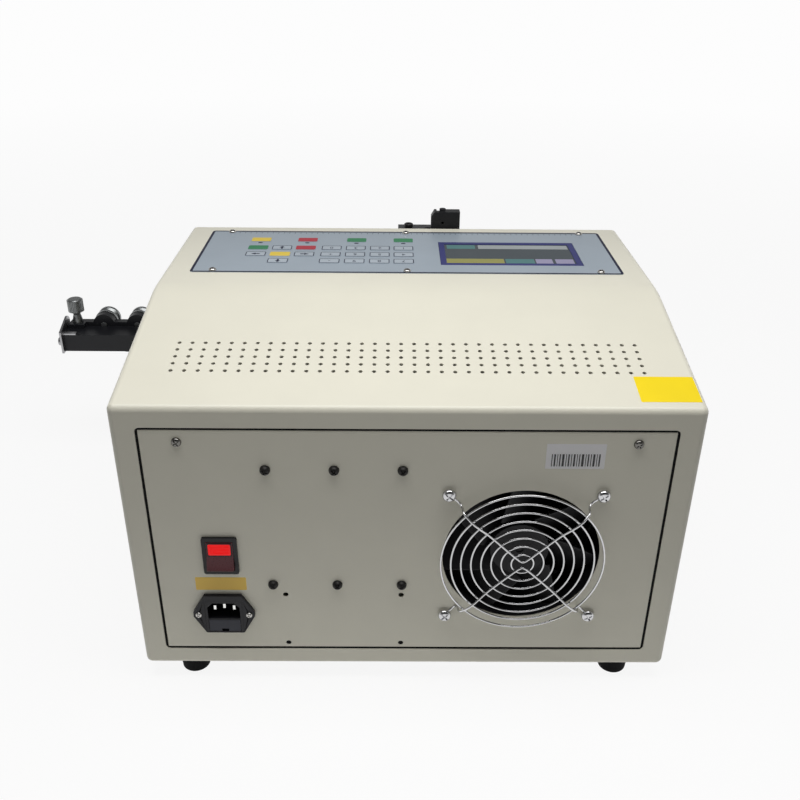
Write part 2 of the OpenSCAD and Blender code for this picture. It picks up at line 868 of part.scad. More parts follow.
module motor_drivers() color(black_metal) framed() difference() {
    for (i = [-1:1])
        translate([driver_x + i * driver_pitch - driver_w / 2, panel_in_y - driver_d + driver_wall,
            driver_z - driver_l / 2]) linear_extrude(driver_l) driver_outline();
    driver_bolt_places() rod_y(panel_in_y + over, panel_in_y - bolt_grip - 1, 0, 0, bolt_r + loose);
}

module power_supply() color(steel) framed() {
    slots = 16;
    slot_l = 3;
    slot_depth = 2;
    low = [supply_side - side_x, rear_y - supply_rear - supply_d, base_top_z];
    slot_step = (supply_d - 2 * supply_side) / slots;
    difference() {
        translate(low) cube([supply_w, supply_d, supply_h]);
        for (i = [0:slots - 1])
            translate(low + [supply_w / 4, supply_side + slot_step * i, supply_h - slot_depth])
                cube([supply_w / 2, slot_l, slot_depth + over]);
    }
}

module fan_frame() color(black_plastic) framed() {
    strut_w = 9;
    strut_seat = 1.5;
    corner_r = 6;
    pin_short = 8;
    difference() {
        union() {
            difference() {
                extrude_y(panel_in_y, panel_in_y - fan_t) translate([fan_x, fan_z])
                    polygon(rounded_rect(fan_size, fan_size, corner_r));
                rod_y(panel_in_y + over, panel_in_y - fan_t - over, fan_x, fan_z, fan_bore_r);
            }
            translate([fan_x, panel_in_y - fan_t, fan_z]) rotate([-90, 0, 0]) {
                cylinder(h = fan_floor, r = fan_hub_r);
                for (a = [45:90:315]) rotate([0, 0, a]) translate([0, -strut_w / 2, 0])
                    cube([fan_bore_r + strut_seat, strut_w, fan_floor]);
                cylinder(h = fan_t - pin_short, r = fan_pin_r);
            }
        }
        fan_screw_places() rod_y(panel_in_y + over, panel_in_y - bolt_grip - 1, 0, 0, fan_screw_r + loose);
    }
}

module fan_impeller() color(black_plastic) framed() {
    depth = fan_t - 3 * fan_floor;
    tip_r = fan_bore_r - fan_tip_gap;
    chord = 46;
    hub_gap = 1;
    translate([fan_x, panel_in_y - fan_t + fan_floor + hub_gap, fan_z]) rotate([-90, 0, 0]) difference() {
        union() {
            cylinder(h = depth, r = fan_hub_r);
            intersection() {
                difference() {
                    cylinder(h = depth, r = tip_r);
                    translate([0, 0, -over]) cylinder(h = depth + 2 * over, r = fan_hub_r - over);
                }
                for (i = [0:fan_blades - 1]) rotate([0, 0, 360 * i / fan_blades])
                    translate([fan_hub_r - 2 * over, 0, depth / 2]) rotate([fan_blade_pitch, 0, 0])
                        translate([0, -chord / 2, -fan_blade_t / 2]) cube([tip_r, chord, fan_blade_t]);
            }
        }
        translate([0, 0, -over]) cylinder(h = depth + 2 * over, r = fan_pin_r + running);
    }
}

// One bent spoke of the guard: from an eyelet up to the rings' front, in to the middle and back out
module guard_spoke(up) {
    corner = fan_pitch / 2 - (eyelet_ring_r + eyelet_wire_r + touch) * cos(45);
    foot = panel_y + eyelet_wire_r + touch;
    rise = guard_outer_r * cos(45) + 2;
    bend = 3;
    half = [
        [corner, foot, corner], [rise + 2, foot, rise + 2],
        [rise - 1, spoke_y, rise - 1], [bend + 1, spoke_y, bend + 1 + spoke_gap / 2],
        [bend - 1.5, spoke_y, spoke_gap + 1.2]
    ];
    other_half = [for (i = [len(half) - 1:-1:0]) [-half[i][0], half[i][1], half[i][2]]];
    path = concat(half, [[0, spoke_y, spoke_gap]], other_half);
    translate([fan_x, 0, fan_z]) bent_wire([for (p = path) [p[0], p[1], up * p[2]]], spoke_wire / 2);
}

module fan_guard() color(chrome) framed() {
    for (i = [0:guard_rings - 1]) translate([fan_x, ring_y, fan_z]) rotate([90, 0, 0])
        rotate_extrude() translate([guard_first_r + i * guard_pitch, 0]) circle(d = ring_wire);
    fan_screw_places() translate([0, panel_y + eyelet_wire_r, 0]) rotate([90, 0, 0])
        rotate_extrude() translate([eyelet_ring_r, 0]) circle(r = eyelet_wire_r);
    guard_spoke(1);
    guard_spoke(-1);
}

module fan_screws() color(chrome) framed() fan_screw_places()
    translate([0, panel_y + spoke_wire + touch, 0])
        pan_screw(fan_screw_r, fan_head_r, fan_head_h, panel_y + spoke_wire - panel_in_y + bolt_grip);

module switch_body() color(black_plastic) framed() difference() {
    union() {
        extrude_y(panel_y + switch_bezel, panel_y) translate([switch_x, switch_z])
            polygon(rounded_rect(switch_w, switch_l, 1.5));
        extrude_y(panel_y + touch, panel_y - switch_depth) translate([switch_x, switch_z])
            square([switch_body_w, switch_body_l], center = true);
    }
    pocket = rocker_w / 2 + sliding;
    rod_x(switch_x - pocket, switch_x + pocket, rocker_y, switch_z, rocker_r + rocker_clear);
    rod_x(switch_x - switch_w, switch_x + switch_w, rocker_y, switch_z, trunnion_r + running);
}

// Rocker with its upper half pressed in
module switch_rocker() color(red) framed() {
    lift = rocker_r * tan(rocker_swing / 2);
    translate([0, rocker_y, switch_z]) rotate([rocker_swing / 2, 0, 0]) {
        intersection() {
            rod_x(switch_x - rocker_w / 2, switch_x + rocker_w / 2, 0, 0, rocker_r);
            extrude_x(switch_x - switch_w, switch_x + switch_w) polygon([
                [-rocker_back, -rocker_r], [rocker_face + lift, -rocker_r], [rocker_face, 0],
                [rocker_face + lift, rocker_r], [-rocker_back, rocker_r]
            ]);
        }
        rod_x(switch_x - switch_body_w / 2, switch_x + switch_body_w / 2, 0, 0, trunnion_r);
    }
}

// The inlet's outer cross-section, which the flange fits round
module inlet_box(low_y, high_y) box(
    [inlet_x - inlet_body_w / 2, low_y, inlet_body_low],
    [inlet_x + inlet_body_w / 2, high_y, inlet_body_high]
);

module inlet_flange() color(black_plastic) framed() difference() {
    extrude_y(inlet_face_y, panel_y) translate([inlet_x, inlet_z]) polygon([
        [inlet_tip_x, inlet_ear_half], [inlet_body_w / 2, inlet_top], [-inlet_body_w / 2, inlet_top],
        [-inlet_tip_x, inlet_ear_half], [-inlet_tip_x, -inlet_ear_half], [-inlet_body_w / 2, -inlet_top],
        [inlet_body_w / 2, -inlet_top], [inlet_tip_x, -inlet_ear_half]
    ]);
    inlet_box(panel_y - over, inlet_face_y + over);
    inlet_screw_places() rod_y(inlet_face_y + over, panel_y - over, 0, 0, small_screw_r + loose);
}

module inlet_body() color(black_plastic) framed() difference() {
    inlet_box(panel_y - inlet_depth, inlet_face_y);
    extrude_y(inlet_face_y + over, inlet_face_y - socket_depth) translate([inlet_x, socket_z]) polygon([
        [-socket_w / 2, -socket_l / 2], [socket_w / 2, -socket_l / 2],
        [socket_w / 2, socket_l / 2 - socket_corner], [socket_w / 2 - socket_corner, socket_l / 2],
        [socket_corner - socket_w / 2, socket_l / 2], [-socket_w / 2, socket_l / 2 - socket_corner]
    ]);
    box(
        [inlet_x - socket_w / 2, inlet_face_y - drawer_depth, drawer_low],
        [inlet_x + socket_w / 2, inlet_face_y + over, drawer_high]
    );
}

module inlet_pins() color(chrome) framed() for (i = [-1:1])
    translate([inlet_x + i * pin_step, inlet_face_y - socket_depth, socket_z + (i == 0 ? pin_rise : 0)])
        translate([-pin_w / 2, 0, -pin_l / 2]) cube([pin_w, pin_reach, pin_l]);

module fuse_drawer() color(black_plastic) framed() {
    fuse_r = 2.6;
    fuse_half = socket_w / 2 - inlet_wall;
    fuse_y = inlet_face_y - drawer_depth / 2 - inlet_wall;
    fuse_z = (drawer_low + drawer_high) / 2;
    catch = [5, 1.6, 2.6];
    difference() {
        box(
            [inlet_x - socket_w / 2 + sliding, inlet_face_y - drawer_depth + sliding, drawer_low + sliding],
            [inlet_x + socket_w / 2 - sliding, inlet_face_y - touch, drawer_high - sliding]
        );
        rod_x(inlet_x - fuse_half, inlet_x + fuse_half, fuse_y, fuse_z, fuse_r);
        box(
            [inlet_x - fuse_half, fuse_y - fuse_r, fuse_z],
            [inlet_x + fuse_half, fuse_y + fuse_r, drawer_high]
        );
        box(
            [inlet_x - catch[0] / 2, inlet_face_y - catch[1], drawer_low],
            [inlet_x + catch[0] / 2, inlet_face_y + over, drawer_low + catch[2]]
        );
    }
}

// Control panel

module control_overlay() color(film_blue) framed() difference() {
    union() {
        translate([film_x, film_y, roof_z]) linear_extrude(film_t)
            polygon(rounded_rect(film_w, film_d, film_r));
        for (c = key_cells) translate([key_columns[c[0]], film_y + key_rows[c[1]], roof_z])
            linear_extrude(film_t + key_rise) polygon(rounded_rect(key_w, key_d, 1.5, 3));
    }
    translate([display_x, display_y, roof_z])
        cube([display_w + 2 * display_fit, display_d + 2 * display_fit, 4 * film_t], center = true);
    film_screw_places() rod_z(roof_z - over, film_z + over, 0, 0, small_screw_r + loose);
}

module display_module() color([0.2, 0.22, 0.4]) framed() translate([display_x, display_y, 0]) difference() {
    union() {
        translate([0, 0, inner_roof_z - display_t]) linear_extrude(display_t + sheet + film_t)
            square([display_w, display_d], center = true);
        translate([0, 0, inner_roof_z - display_flange_t]) linear_extrude(display_flange_t)
            square([display_w + 2 * display_flange, display_d + 2 * display_flange], center = true);
    }
    translate([0, 0, film_z - display_sink]) linear_extrude(display_sink + over)
        square([display_w - 2 * display_frame, display_d - 2 * display_frame], center = true);
}

module keypad_board() color(board_green) framed() {
    post_edge = 5;
    board_post_r = 3;
    board_z = inner_roof_z - board_drop;
    box([board_x0, board_y0, board_z - board_t], [board_x1, board_y1, board_z]);
    for (x = [board_x0 + post_edge, board_x1 - post_edge])
        for (y = [board_y0 + post_edge, board_y1 - post_edge])
            rod_z(board_z - touch, inner_roof_z, x, y, board_post_r);
}

// Mechanism plate and wire feed

module mech_plate() color(black_metal) framed() difference() {
    extrude_y(front_y, out(plate_t)) translate([(plate_x0 + plate_x1) / 2, (plate_low + plate_high) / 2])
        polygon(rounded_rect(plate_x1 - plate_x0, plate_high - plate_low, plate_r));
    for (x = feed_x) {
        box(
            [x - block_w / 2 - sliding, out(plate_t) - over, block_low - 2 * sliding],
            [x + block_w / 2 + sliding, front_y + over, block_high + roller_lift + 4 * sliding]
        );
        rod_y(front_y + over, out(plate_t) - over, x, lower_z, shaft_r + running);
    }
    for (p = plate_bolts) rod_y(front_y + over, out(plate_t) - over, p[0], p[1], m5_r + loose);
    for (p = bar_bolts()) rod_y(front_y + over, out(plate_t) - over, p[0], p[1], m5_r + loose);
}

function bar_bolts() = [
    for (x = [bar_x0 + bar_bolt_inset, plate_x1 - bar_bolt_inset]) [x, (bar_low + bar_high) / 2]
];

// A socket head screw along +Y; its head stands on the face at y = 0 and points to the front
module socket_screw(grip) {
    socket_r = m5_head_r * 0.55;
    difference() {
        rotate([90, 0, 0]) rotate_extrude() polygon([
            [0, -grip], [m5_r, -grip], [m5_r, 0], [m5_head_r, 0], [m5_head_r, m5_head_h - 0.6],
            [m5_head_r - 0.6, m5_head_h], [0, m5_head_h]
        ]);
        translate([0, -m5_head_h - over, 0]) rotate([-90, 0, 0])
            cylinder(h = m5_head_h / 2 + over, r = socket_r, $fn = 6);
    }
}

module tower_screw_places() {
    for (side = [-1, 1]) translate([cutter_x + side * post_span / 2, post_y, tower_top_z]) children();
}

module socket_screws() color(steel) framed() {
    for (p = plate_bolts) translate([p[0], out(plate_t), p[1]]) socket_screw(plate_t + m5_grip);
    for (p = bar_bolts()) translate([p[0], out(bar_far), p[1]]) socket_screw(bar_far - 1);
    tower_screw_places() rotate([-90, 0, 0]) socket_screw(tower_top_t + m5_grip);
}

// A stepper motor along +Z: its mounting face at z = 0, its shaft's bore open towards +Z
module stepper(length) {
    bore_depth = 12;
    cap_h = 9;
    face_gap = 2;
    corner_r = 5;
    stack_step = 0.8;
    stack_r = 8;
    connector = [18, 5, 9];
    difference() {
        union() {
            translate([0, 0, -length]) linear_extrude(cap_h)
                polygon(rounded_rect(motor_w, motor_w, corner_r));
            translate([0, 0, cap_h - length]) linear_extrude(length - 2 * cap_h + face_gap)
                polygon(rounded_rect(motor_w - 2 * stack_step, motor_w - 2 * stack_step, stack_r));
            translate([0, 0, face_gap - cap_h]) linear_extrude(cap_h - face_gap)
                polygon(rounded_rect(motor_w, motor_w, corner_r));
            cylinder(h = motor_boss_h, r = motor_boss_r);
            translate([-connector[0] / 2, motor_w / 2 - over, over - length]) cube(connector);
        }
        translate([0, 0, -bore_depth]) cylinder(h = bore_depth + 2 * over, r = motor_shaft_r + running);
    }
}

module stepper_motors() color(black_metal) framed() {
    for (x = feed_x) translate([x, front_y + motor_face, pinion_z]) rotate([90, 0, 0]) rotate([0, 0, 180])
        stepper(feed_motor_l);
    translate([cutter_x, post_y, tower_low]) rotate([0, 0, 180]) stepper(cutter_motor_l);
}

module motor_standoffs() color(steel) framed() {
    half = motor_screw_pitch / 2;
    for (x = feed_x) for (i = [-half, half]) for (k = [-half, half])
        rod_y(front_y + motor_face, front_y, x + i, pinion_z + k, standoff_r);
}

module wire_guides() color(black_metal) framed() for (s = guide_spans) difference() {
    extrude_x(s[0], s[1]) translate([out((plate_t + guide_far) / 2), wire_z])
        polygon(rounded_rect(guide_far - plate_t, 2 * guide_half, 2, 3));
    rod_x(s[0] - over, s[1] + over, wire_y, wire_z, guide_r);
}

module pressure_bridges() color(black_metal) framed() for (x = feed_x) difference() {
    box([x - bridge_w / 2, out(bridge_far), bridge_low], [x + bridge_w / 2, out(plate_t), bridge_high]);
    rod_z(bridge_low - over, bridge_high + over, x, out(knob_out), knob_screw_r + loose);
}

module feed_roller(x, z) color(steel) framed() difference() {
    extrude_y(out(roller_near), out(roller_far)) translate([x, z])
        polygon(fluted(roller_r, flute_depth, roller_flutes));
    rod_y(out(roller_near) + over, out(roller_far) - over, x, z, shaft_r + roller_fit);
}

module feed_roller_right_lower() feed_roller(feed_x[0], lower_z);
module feed_roller_right_upper() feed_roller(feed_x[0], upper_z);
module feed_roller_left_lower() feed_roller(feed_x[1], lower_z);
module feed_roller_left_upper() feed_roller(feed_x[1], upper_z);

// A feed shaft with its gear at the rear end and a cap in front of the roller
module gear_shaft(x, z, turn) color(steel) framed() {
    rod_y(front_y + shaft_in, out(roller_far), x, z, shaft_r);
    rod_y(out(roller_far), out(roller_far + shaft_cap), x, z, shaft_cap_r);
    extrude_y(gear_y + gear_w, gear_y) translate([x, z]) rotate(turn)
        polygon(gear_points(gear_teeth, gear_m));
}

tooth_up = 90 - 360 / gear_teeth * floor(gear_teeth / 4);
module gear_shaft_right_lower() gear_shaft(feed_x[0], lower_z, tooth_up);
module gear_shaft_right_upper() gear_shaft(feed_x[0], upper_z, tooth_up + 180 + 180 / gear_teeth);
module gear_shaft_left_lower() gear_shaft(feed_x[1], lower_z, tooth_up);
module gear_shaft_left_upper() gear_shaft(feed_x[1], upper_z, tooth_up + 180 + 180 / gear_teeth);

module roller_block(x) color(black_metal) framed() difference() {
    union() {
        box(
            [x - block_w / 2, out(plate_t + block_play), block_low],
            [x + block_w / 2, out(block_near), block_high]
        );
        box(
            [x - block_flange_w / 2, out(block_far), block_low],
            [x + block_flange_w / 2, out(plate_t + block_play), block_high]
        );
    }
    rod_y(front_y, out(block_far) - over, x, upper_z, shaft_r + running);
    rod_z(block_high - block_hole, block_high + over, x, out(knob_out), knob_screw_r + running);
}

module roller_block_right() roller_block(feed_x[0]);
module roller_block_left() roller_block(feed_x[1]);

module pressure_knob(x) color(black_plastic) framed() translate([x, out(knob_out), 0]) {
    head_z = bridge_high + block_play;
    grip_flutes = 20;
    grip_depth = 0.9;
    top_edge = 1;
    rod_z(block_high - block_hole / 2, head_z + touch, 0, 0, knob_screw_r);
    translate([0, 0, head_z]) linear_extrude(knob_h - knob_top)
        polygon(fluted(knob_r, grip_depth, grip_flutes));
    translate([0, 0, head_z + knob_h - knob_top])
        cylinder(h = knob_top, r1 = knob_r - top_edge, r2 = knob_r - top_edge - knob_top);
}

module pressure_knob_right() pressure_knob(feed_x[0]);
module pressure_knob_left() pressure_knob(feed_x[1]);

// A pinion with the rotor shaft that it is fixed to
module motor_pinion(x) color(brass) framed() {
    rotor_in = 10;
    rod_y(front_y + motor_face + rotor_in, gear_y, x, pinion_z, motor_shaft_r);
    extrude_y(gear_y + gear_w, gear_y) translate([x, pinion_z]) rotate(pinion_turn())
        polygon(gear_points(pinion_teeth, gear_m));
}

// The lower gear's tooth nearest to straight down decides how far the pinion is turned
function pinion_turn() =
    let (step = 360 / gear_teeth, down = -90 - tooth_up, past = down - step * round(down / step))
    90 + 180 / pinion_teeth + past * gear_teeth / pinion_teeth;

module motor_pinion_right() motor_pinion(feed_x[0]);
module motor_pinion_left() motor_pinion(feed_x[1]);

// Cutter tower

module tower_base() color(black_metal) framed() difference() {
    box([tower_x0, out(tower_far), tower_low], [tower_x1, out(plate_t), tower_base_high]);
    rod_z(tower_low - over, tower_base_high + over, cutter_x, post_y, sleeve_r + sleeve_gap);
    rod_z(tower_low - over, tower_low + motor_boss_h + sliding, cutter_x, post_y, motor_boss_r + sliding);
}

module tower_top_plate() color(black_metal) framed() difference() {
    box([tower_x0, out(tower_top_far), plate_high], [tower_x1, out(tower_top_near), tower_top_z]);
    rod_z(plate_high - over, plate_high + tower_top_t + over, cutter_x, post_y, journal_r + running);
    tower_screw_places() rod_z(-tower_top_t - over, over, 0, 0, m5_r + loose);
}

module tower_posts() color(steel) framed() for (side = [-1, 1])
    translate([cutter_x + side * post_span / 2, post_y, 0]) difference() {
        rod_z(tower_base_high, plate_high, 0, 0, post_r);
        rod_z(plate_high - m5_grip - over, plate_high + over, 0, 0, m5_r + touch);
    }

// Sensor block on the tower's top plate: a chamfered housing with a top screw, a cable hole and a slot
module home_sensor() color(black_plastic) framed() {
    w = sensor_size[0];
    d = sensor_size[1];
    h = sensor_size[2];
    cut = sensor_chamfer;
    corner = sensor_corner;
    slot = [w - 9, w - 5];
    slot_d = 5;
    slot_floor = 4;
    translate([tower_x0 + 1, out(sensor_near) - d, tower_top_z]) difference() {
        union() {
            linear_extrude(h) polygon([[0, 0], [w, 0], [w, d - cut], [w - cut, d], [0, d]]);
            rod_z(h - over, h + sensor_head_h, sensor_screw_x, d / 2, sensor_head_r);
        }
        extrude_y(d + over, -over) polygon([
            [w - 2 * corner[0], h + corner[1]], [w + corner[0], h - 2 * corner[1]],
            [w + corner[0], h + corner[1]]
        ]);
        rod_y(d + over, d - 4, sensor_screw_x, 13.4, 1.2);
        box([slot[0], -over, slot_floor], [slot[1], slot_d, h + over]);
    }
}

module lead_screw() color(steel) framed() translate([cutter_x, post_y, 0]) {
    rotor_in = 11;
    groove_depth = 0.6;
    lead_low = tower_base_high + lead_start;
    lead_high = plate_high - 7;
    turns = 28;
    pitch = (lead_high - lead_low) / turns;
    rod_z(tower_low - rotor_in, tower_low + 2, 0, 0, motor_shaft_r);
    rod_z(tower_low + 2, lead_low, 0, 0, sleeve_r);
    rotate_extrude() polygon(concat(
        [[0, lead_low]],
        [for (i = [0:turns - 1]) each [
            [lead_r - groove_depth, lead_low + i * pitch], [lead_r, lead_low + (i + 0.3) * pitch],
            [lead_r, lead_low + (i + 0.7) * pitch]
        ]],
        [[lead_r - groove_depth, lead_high], [0, lead_high]]
    ));
    rod_z(lead_high, plate_high + tower_top_t - 3, 0, 0, journal_r);
}

// A cutter slide above the wire for up = 1, and its mirror image in X and Z below it for up = -1
module cutter_slide(up) {
    slide_end = slide_start + slide_h;
    translate([cutter_x, 0, wire_z]) rotate([0, up > 0 ? 0 : 180, 0]) difference() {
        union() {
            box([-slide_w / 2, out(slide_far), slide_start], [slide_w / 2, out(slide_near), slide_end]);
            box(
                [-blade_t - blade_gap - arm_w, out(blade_far), arm_start],
                [-blade_t - blade_gap, out(slide_far) + touch, arm_end]
            );
        }
        for (side = [-1, 1])
            rod_z(slide_start - over, slide_end + over, side * post_span / 2, post_y, post_r + running);
        rod_z(slide_start - over, slide_end + over, 0, post_y, lead_r + running);
    }
}

module cutter_blade(up) {
    translate([cutter_x, 0, wire_z]) rotate([0, up > 0 ? 0 : 180, 0])
        extrude_x(-blade_t - blade_gap, -blade_gap) polygon([
            [out(blade_near), blade_rest], [out(wire_out - notch_half), blade_rest],
            [out(wire_out), blade_rest + notch_depth], [out(wire_out + notch_half), blade_rest],
            [out(blade_far), blade_rest], [out(blade_far), blade_end], [out(blade_near), blade_end]
        ]);
}

module blade_clamp(up) {
    screw_head = 3;
    screw_r = 3.5;
    screw_span = 12;
    edge = 1;
    translate([cutter_x, 0, wire_z]) rotate([0, up > 0 ? 0 : 180, 0]) {
        box([-blade_gap, out(blade_far - edge), arm_start], [clamp_w, out(blade_near + edge), arm_end]);
        for (i = [-0.5, 0.5])
            rod_x(clamp_w, clamp_w + screw_head, wire_y, (arm_start + arm_end) / 2 + screw_span * i, screw_r);
    }
}

module upper_cutter_slide() color(black_metal) framed() cutter_slide(1);
module upper_blade() color(chrome) framed() cutter_blade(1);
module upper_blade_clamp() color(steel) framed() blade_clamp(1);
module lower_cutter_slide() color(black_metal) framed() cutter_slide(-1);
module lower_blade() color(chrome) framed() cutter_blade(-1);
module lower_blade_clamp() color(steel) framed() blade_clamp(-1);

// Straightener

module straightener_bar() color(black_metal) framed() difference() {
    union() {
        box([bar_x0, out(bar_far), bar_low], [bar_x1, out(plate_t), bar_high]);
        box(
            [lower_sroller_x[1] - lobe_r, out(bar_far), web_low],
            [thumb_x + thumb_boss, out(web_near), web_high]
        );
        for (x = upper_sroller_x) rod_y(out(web_near), out(bar_far), x, upper_sroller_z, lobe_r);
        box(
            [thumb_x - thumb_boss, out(bar_far), bar_low],
            [thumb_x + thumb_boss, out(2 * thumb_out - bar_far), web_high]
        );
    }
    for (p = sroller_places())
        rod_y(out(web_near - axle_seat - touch), out(bar_far) - over, p[0], p[1], axle_r + touch);
    for (p = bar_bolts()) rod_y(out(plate_t) + over, out(bar_far) - over, p[0], p[1], m5_r + loose);
    rod_z(wire_z - thumb_stem_down, web_high + over, thumb_x, out(thumb_out), thumb_stem_r + running);
}

function sroller_places() = concat(
    [for (x = upper_sroller_x) [x, upper_sroller_z]],
    [for (x = lower_sroller_x) [x, lower_sroller_z]]
);

module straightener_axles() color(steel) framed() for (p = sroller_places()) {
    far = sroller_near + sroller_w + axle_play;
    rod_y(out(web_near - axle_seat), out(far), p[0], p[1], axle_r);
    rod_y(out(far), out(far + axle_head), p[0], p[1], axle_head_r);
}

module straightener_roller(x, z) color(steel) framed() translate([x, out(sroller_near), z]) rotate([90, 0, 0])
    rotate_extrude() polygon([
        [axle_r + running, 0], [sroller_r, 0], [sroller_r, sroller_w / 2 - groove],
        [sroller_r - groove, sroller_w / 2], [sroller_r, sroller_w / 2 + groove], [sroller_r, sroller_w],
        [axle_r + running, sroller_w]
    ]);

module upper_straightener_roller_1() straightener_roller(upper_sroller_x[0], upper_sroller_z);
module upper_straightener_roller_2() straightener_roller(upper_sroller_x[1], upper_sroller_z);
module lower_straightener_roller_1() straightener_roller(lower_sroller_x[0], lower_sroller_z);
module lower_straightener_roller_2() straightener_roller(lower_sroller_x[1], lower_sroller_z);

// Entry plate at the bar's end: an eyelet for the wire, a rounded tab that stands up and a foot on the bar
module guide_plate() color(steel) framed() {
    tab_far = 38;
    tab_h = 22;
    tab_r = 6;
    tab_from = 71;
    shoulder_h = 14;
    eye_h = 6.5;
    foot_w = 5;
    foot_l = 13;
    foot_t = 1.6;
    plate_down = 8.5;
    screw_y = out(16);
    screw_z = wire_z + 1.5;
    near_y = out(guide_plate_near);
    far_y = out(guide_plate_far);
    difference() {
        union() {
            extrude_x(bar_x1, bar_x1 + guide_plate_t) polygon(concat(
                [[far_y, wire_z - plate_down], [near_y, wire_z - plate_down], [near_y, wire_z + shoulder_h]],
                arc([out(tab_far) + tab_r, wire_z + tab_h - tab_r], tab_r, tab_from, 180, 5),
                [[out(tab_far), wire_z + eye_h], [far_y, wire_z + eye_h]]
            ));
            box(
                [bar_x1 - foot_l, out(plate_t + foot_w), bar_high],
                [bar_x1 + guide_plate_t / 2, out(plate_t), bar_high + foot_t]
            );
        }
        rod_x(bar_x1 - over, bar_x1 + guide_plate_t + over, wire_y, wire_z, eyelet_r);
    }
    translate([bar_x1 + guide_plate_t, screw_y, screw_z]) rotate([0, 90, 0]) rotate_extrude() polygon([
        [0, 0], [m5_head_r, 0], [m5_head_r, guide_screw_head - 0.6],
        [m5_head_r - 0.6, guide_screw_head], [0, guide_screw_head]
    ]);
}

module straightener_thumb_screw() color(steel) framed() translate([thumb_x, out(thumb_out), web_high]) {
    knurls = 30;
    rod_z(thumb_stem_end - web_up, touch, 0, 0, thumb_stem_r);
    translate([0, 0, touch]) rotate_extrude() polygon([
        [0, 0], [5, 0], [5, 2], [3.5, thumb_neck - 3], [thumb_r - 2, thumb_neck], [0, thumb_neck]
    ]);
    translate([0, 0, thumb_neck]) linear_extrude(thumb_head - 1) polygon(fluted(thumb_r, 0.5, knurls));
    translate([0, 0, thumb_neck + thumb_head - 1]) cylinder(h = 1, r1 = thumb_r - 0.6, r2 = thumb_r - 1.6);
}

casing_shell();
base_plate();
rear_panel();
rubber_feet();
control_overlay();
display_module();
keypad_board();
panel_screws();
motor_drivers();
driver_bolts();
power_supply();
fan_frame();
fan_impeller();
fan_guard();
fan_screws();
switch_body();
switch_rocker();
inlet_flange();
inlet_body();
inlet_pins();
fuse_drawer();
mech_plate();
socket_screws();
stepper_motors();
motor_standoffs();
wire_guides();
pressure_bridges();
feed_roller_right_lower();
feed_roller_right_upper();
feed_roller_left_lower();
feed_roller_left_upper();
gear_shaft_right_lower();
gear_shaft_right_upper();
gear_shaft_left_lower();
gear_shaft_left_upper();
roller_block_right();
roller_block_left();
pressure_knob_right();
pressure_knob_left();
motor_pinion_right();
motor_pinion_left();
tower_base();
tower_top_plate();
tower_posts();
home_sensor();
lead_screw();
upper_cutter_slide();
upper_blade();
upper_blade_clamp();
lower_cutter_slide();
lower_blade();
lower_blade_clamp();
straightener_bar();
guide_plate();
straightener_axles();
straightener_thumb_screw();
upper_straightener_roller_1();
upper_straightener_roller_2();
lower_straightener_roller_1();
lower_straightener_roller_2();
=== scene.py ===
# Wire cutting and stripping machine, seen from behind and above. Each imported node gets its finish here,
# and the printed, bent and fine pieces are modelled on it in the order in which the machine is put together.

import math

import bpy
from mathutils import Matrix, Vector


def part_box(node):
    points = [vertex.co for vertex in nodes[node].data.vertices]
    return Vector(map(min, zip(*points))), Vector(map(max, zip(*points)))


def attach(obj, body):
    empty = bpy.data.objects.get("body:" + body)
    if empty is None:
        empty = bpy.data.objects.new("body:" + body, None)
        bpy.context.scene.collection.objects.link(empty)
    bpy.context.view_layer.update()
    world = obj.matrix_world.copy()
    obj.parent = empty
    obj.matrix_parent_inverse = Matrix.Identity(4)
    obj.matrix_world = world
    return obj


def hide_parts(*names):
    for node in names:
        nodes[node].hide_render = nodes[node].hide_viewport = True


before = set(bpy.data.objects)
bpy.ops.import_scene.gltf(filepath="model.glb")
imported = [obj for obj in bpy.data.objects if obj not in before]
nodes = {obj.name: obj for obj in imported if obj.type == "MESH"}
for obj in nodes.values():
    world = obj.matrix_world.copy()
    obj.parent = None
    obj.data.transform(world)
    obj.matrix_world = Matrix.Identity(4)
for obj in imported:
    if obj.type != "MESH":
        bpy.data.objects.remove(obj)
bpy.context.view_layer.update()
mm = 0.001
casing_low, casing_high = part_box("casing_shell")
casing_x = (casing_low.x + casing_high.x) / 2
rear_y = casing_high.y
roof_z = casing_high.z


# The studio is a white paper floor under a soft box over the machine's back, with dim light from all round.
# The camera sees white paper all round, and metal also shows a dim ceiling and the dim aisle at the back.
# A pair of levels goes from the first to the second over its reach, along the floor or round the room.
scene = bpy.context.scene
scene.view_settings.view_transform = "Standard"
plain_white = (1, 1, 1, 1)
paper_size = 24
paper_shade = 0.1
paper_glow = (0.89, 0.97)
paper_reach = (0, 2.5)
sheet_bounce = (0.95, 0.2)
sheet_reach = (0.25, 1.0)
room_light = 0.11
ceiling_light = (0.9, 0.2)
ceiling_reach = (0.05, 0.5)
aisle_light = (1, 0.25)
aisle_reach = (0.1, 0.6)
box_place = (casing_x, 0.2, 0.85)
box_size = (0.9, 0.35)
box_power = 5.0


def set_sockets(node, sockets):
    """Sets the sockets of a shader node that are named."""
    for name, value in sockets.items():
        node.inputs[name.replace("_", " ")].default_value = value


def add_node(tree, kind, **sockets):
    """Adds a shader node and sets the sockets that are named."""
    made = tree.nodes.new(kind)
    set_sockets(made, sockets)
    return made


def map_range(tree, value, reach, levels):
    """Takes a value from the first level to the second over its reach."""
    made = add_node(
        tree, "ShaderNodeMapRange",
        From_Min=reach[0], From_Max=reach[1], To_Min=levels[0], To_Max=levels[1],
    )
    tree.links.new(value, made.inputs["Value"])
    return made.outputs[0]


def combine(tree, operation, first, second):
    """The result of one operation on two values."""
    made = add_node(tree, "ShaderNodeMath")
    made.operation = operation
    tree.links.new(first, made.inputs[0])
    tree.links.new(second, made.inputs[1])
    return made.outputs[0]


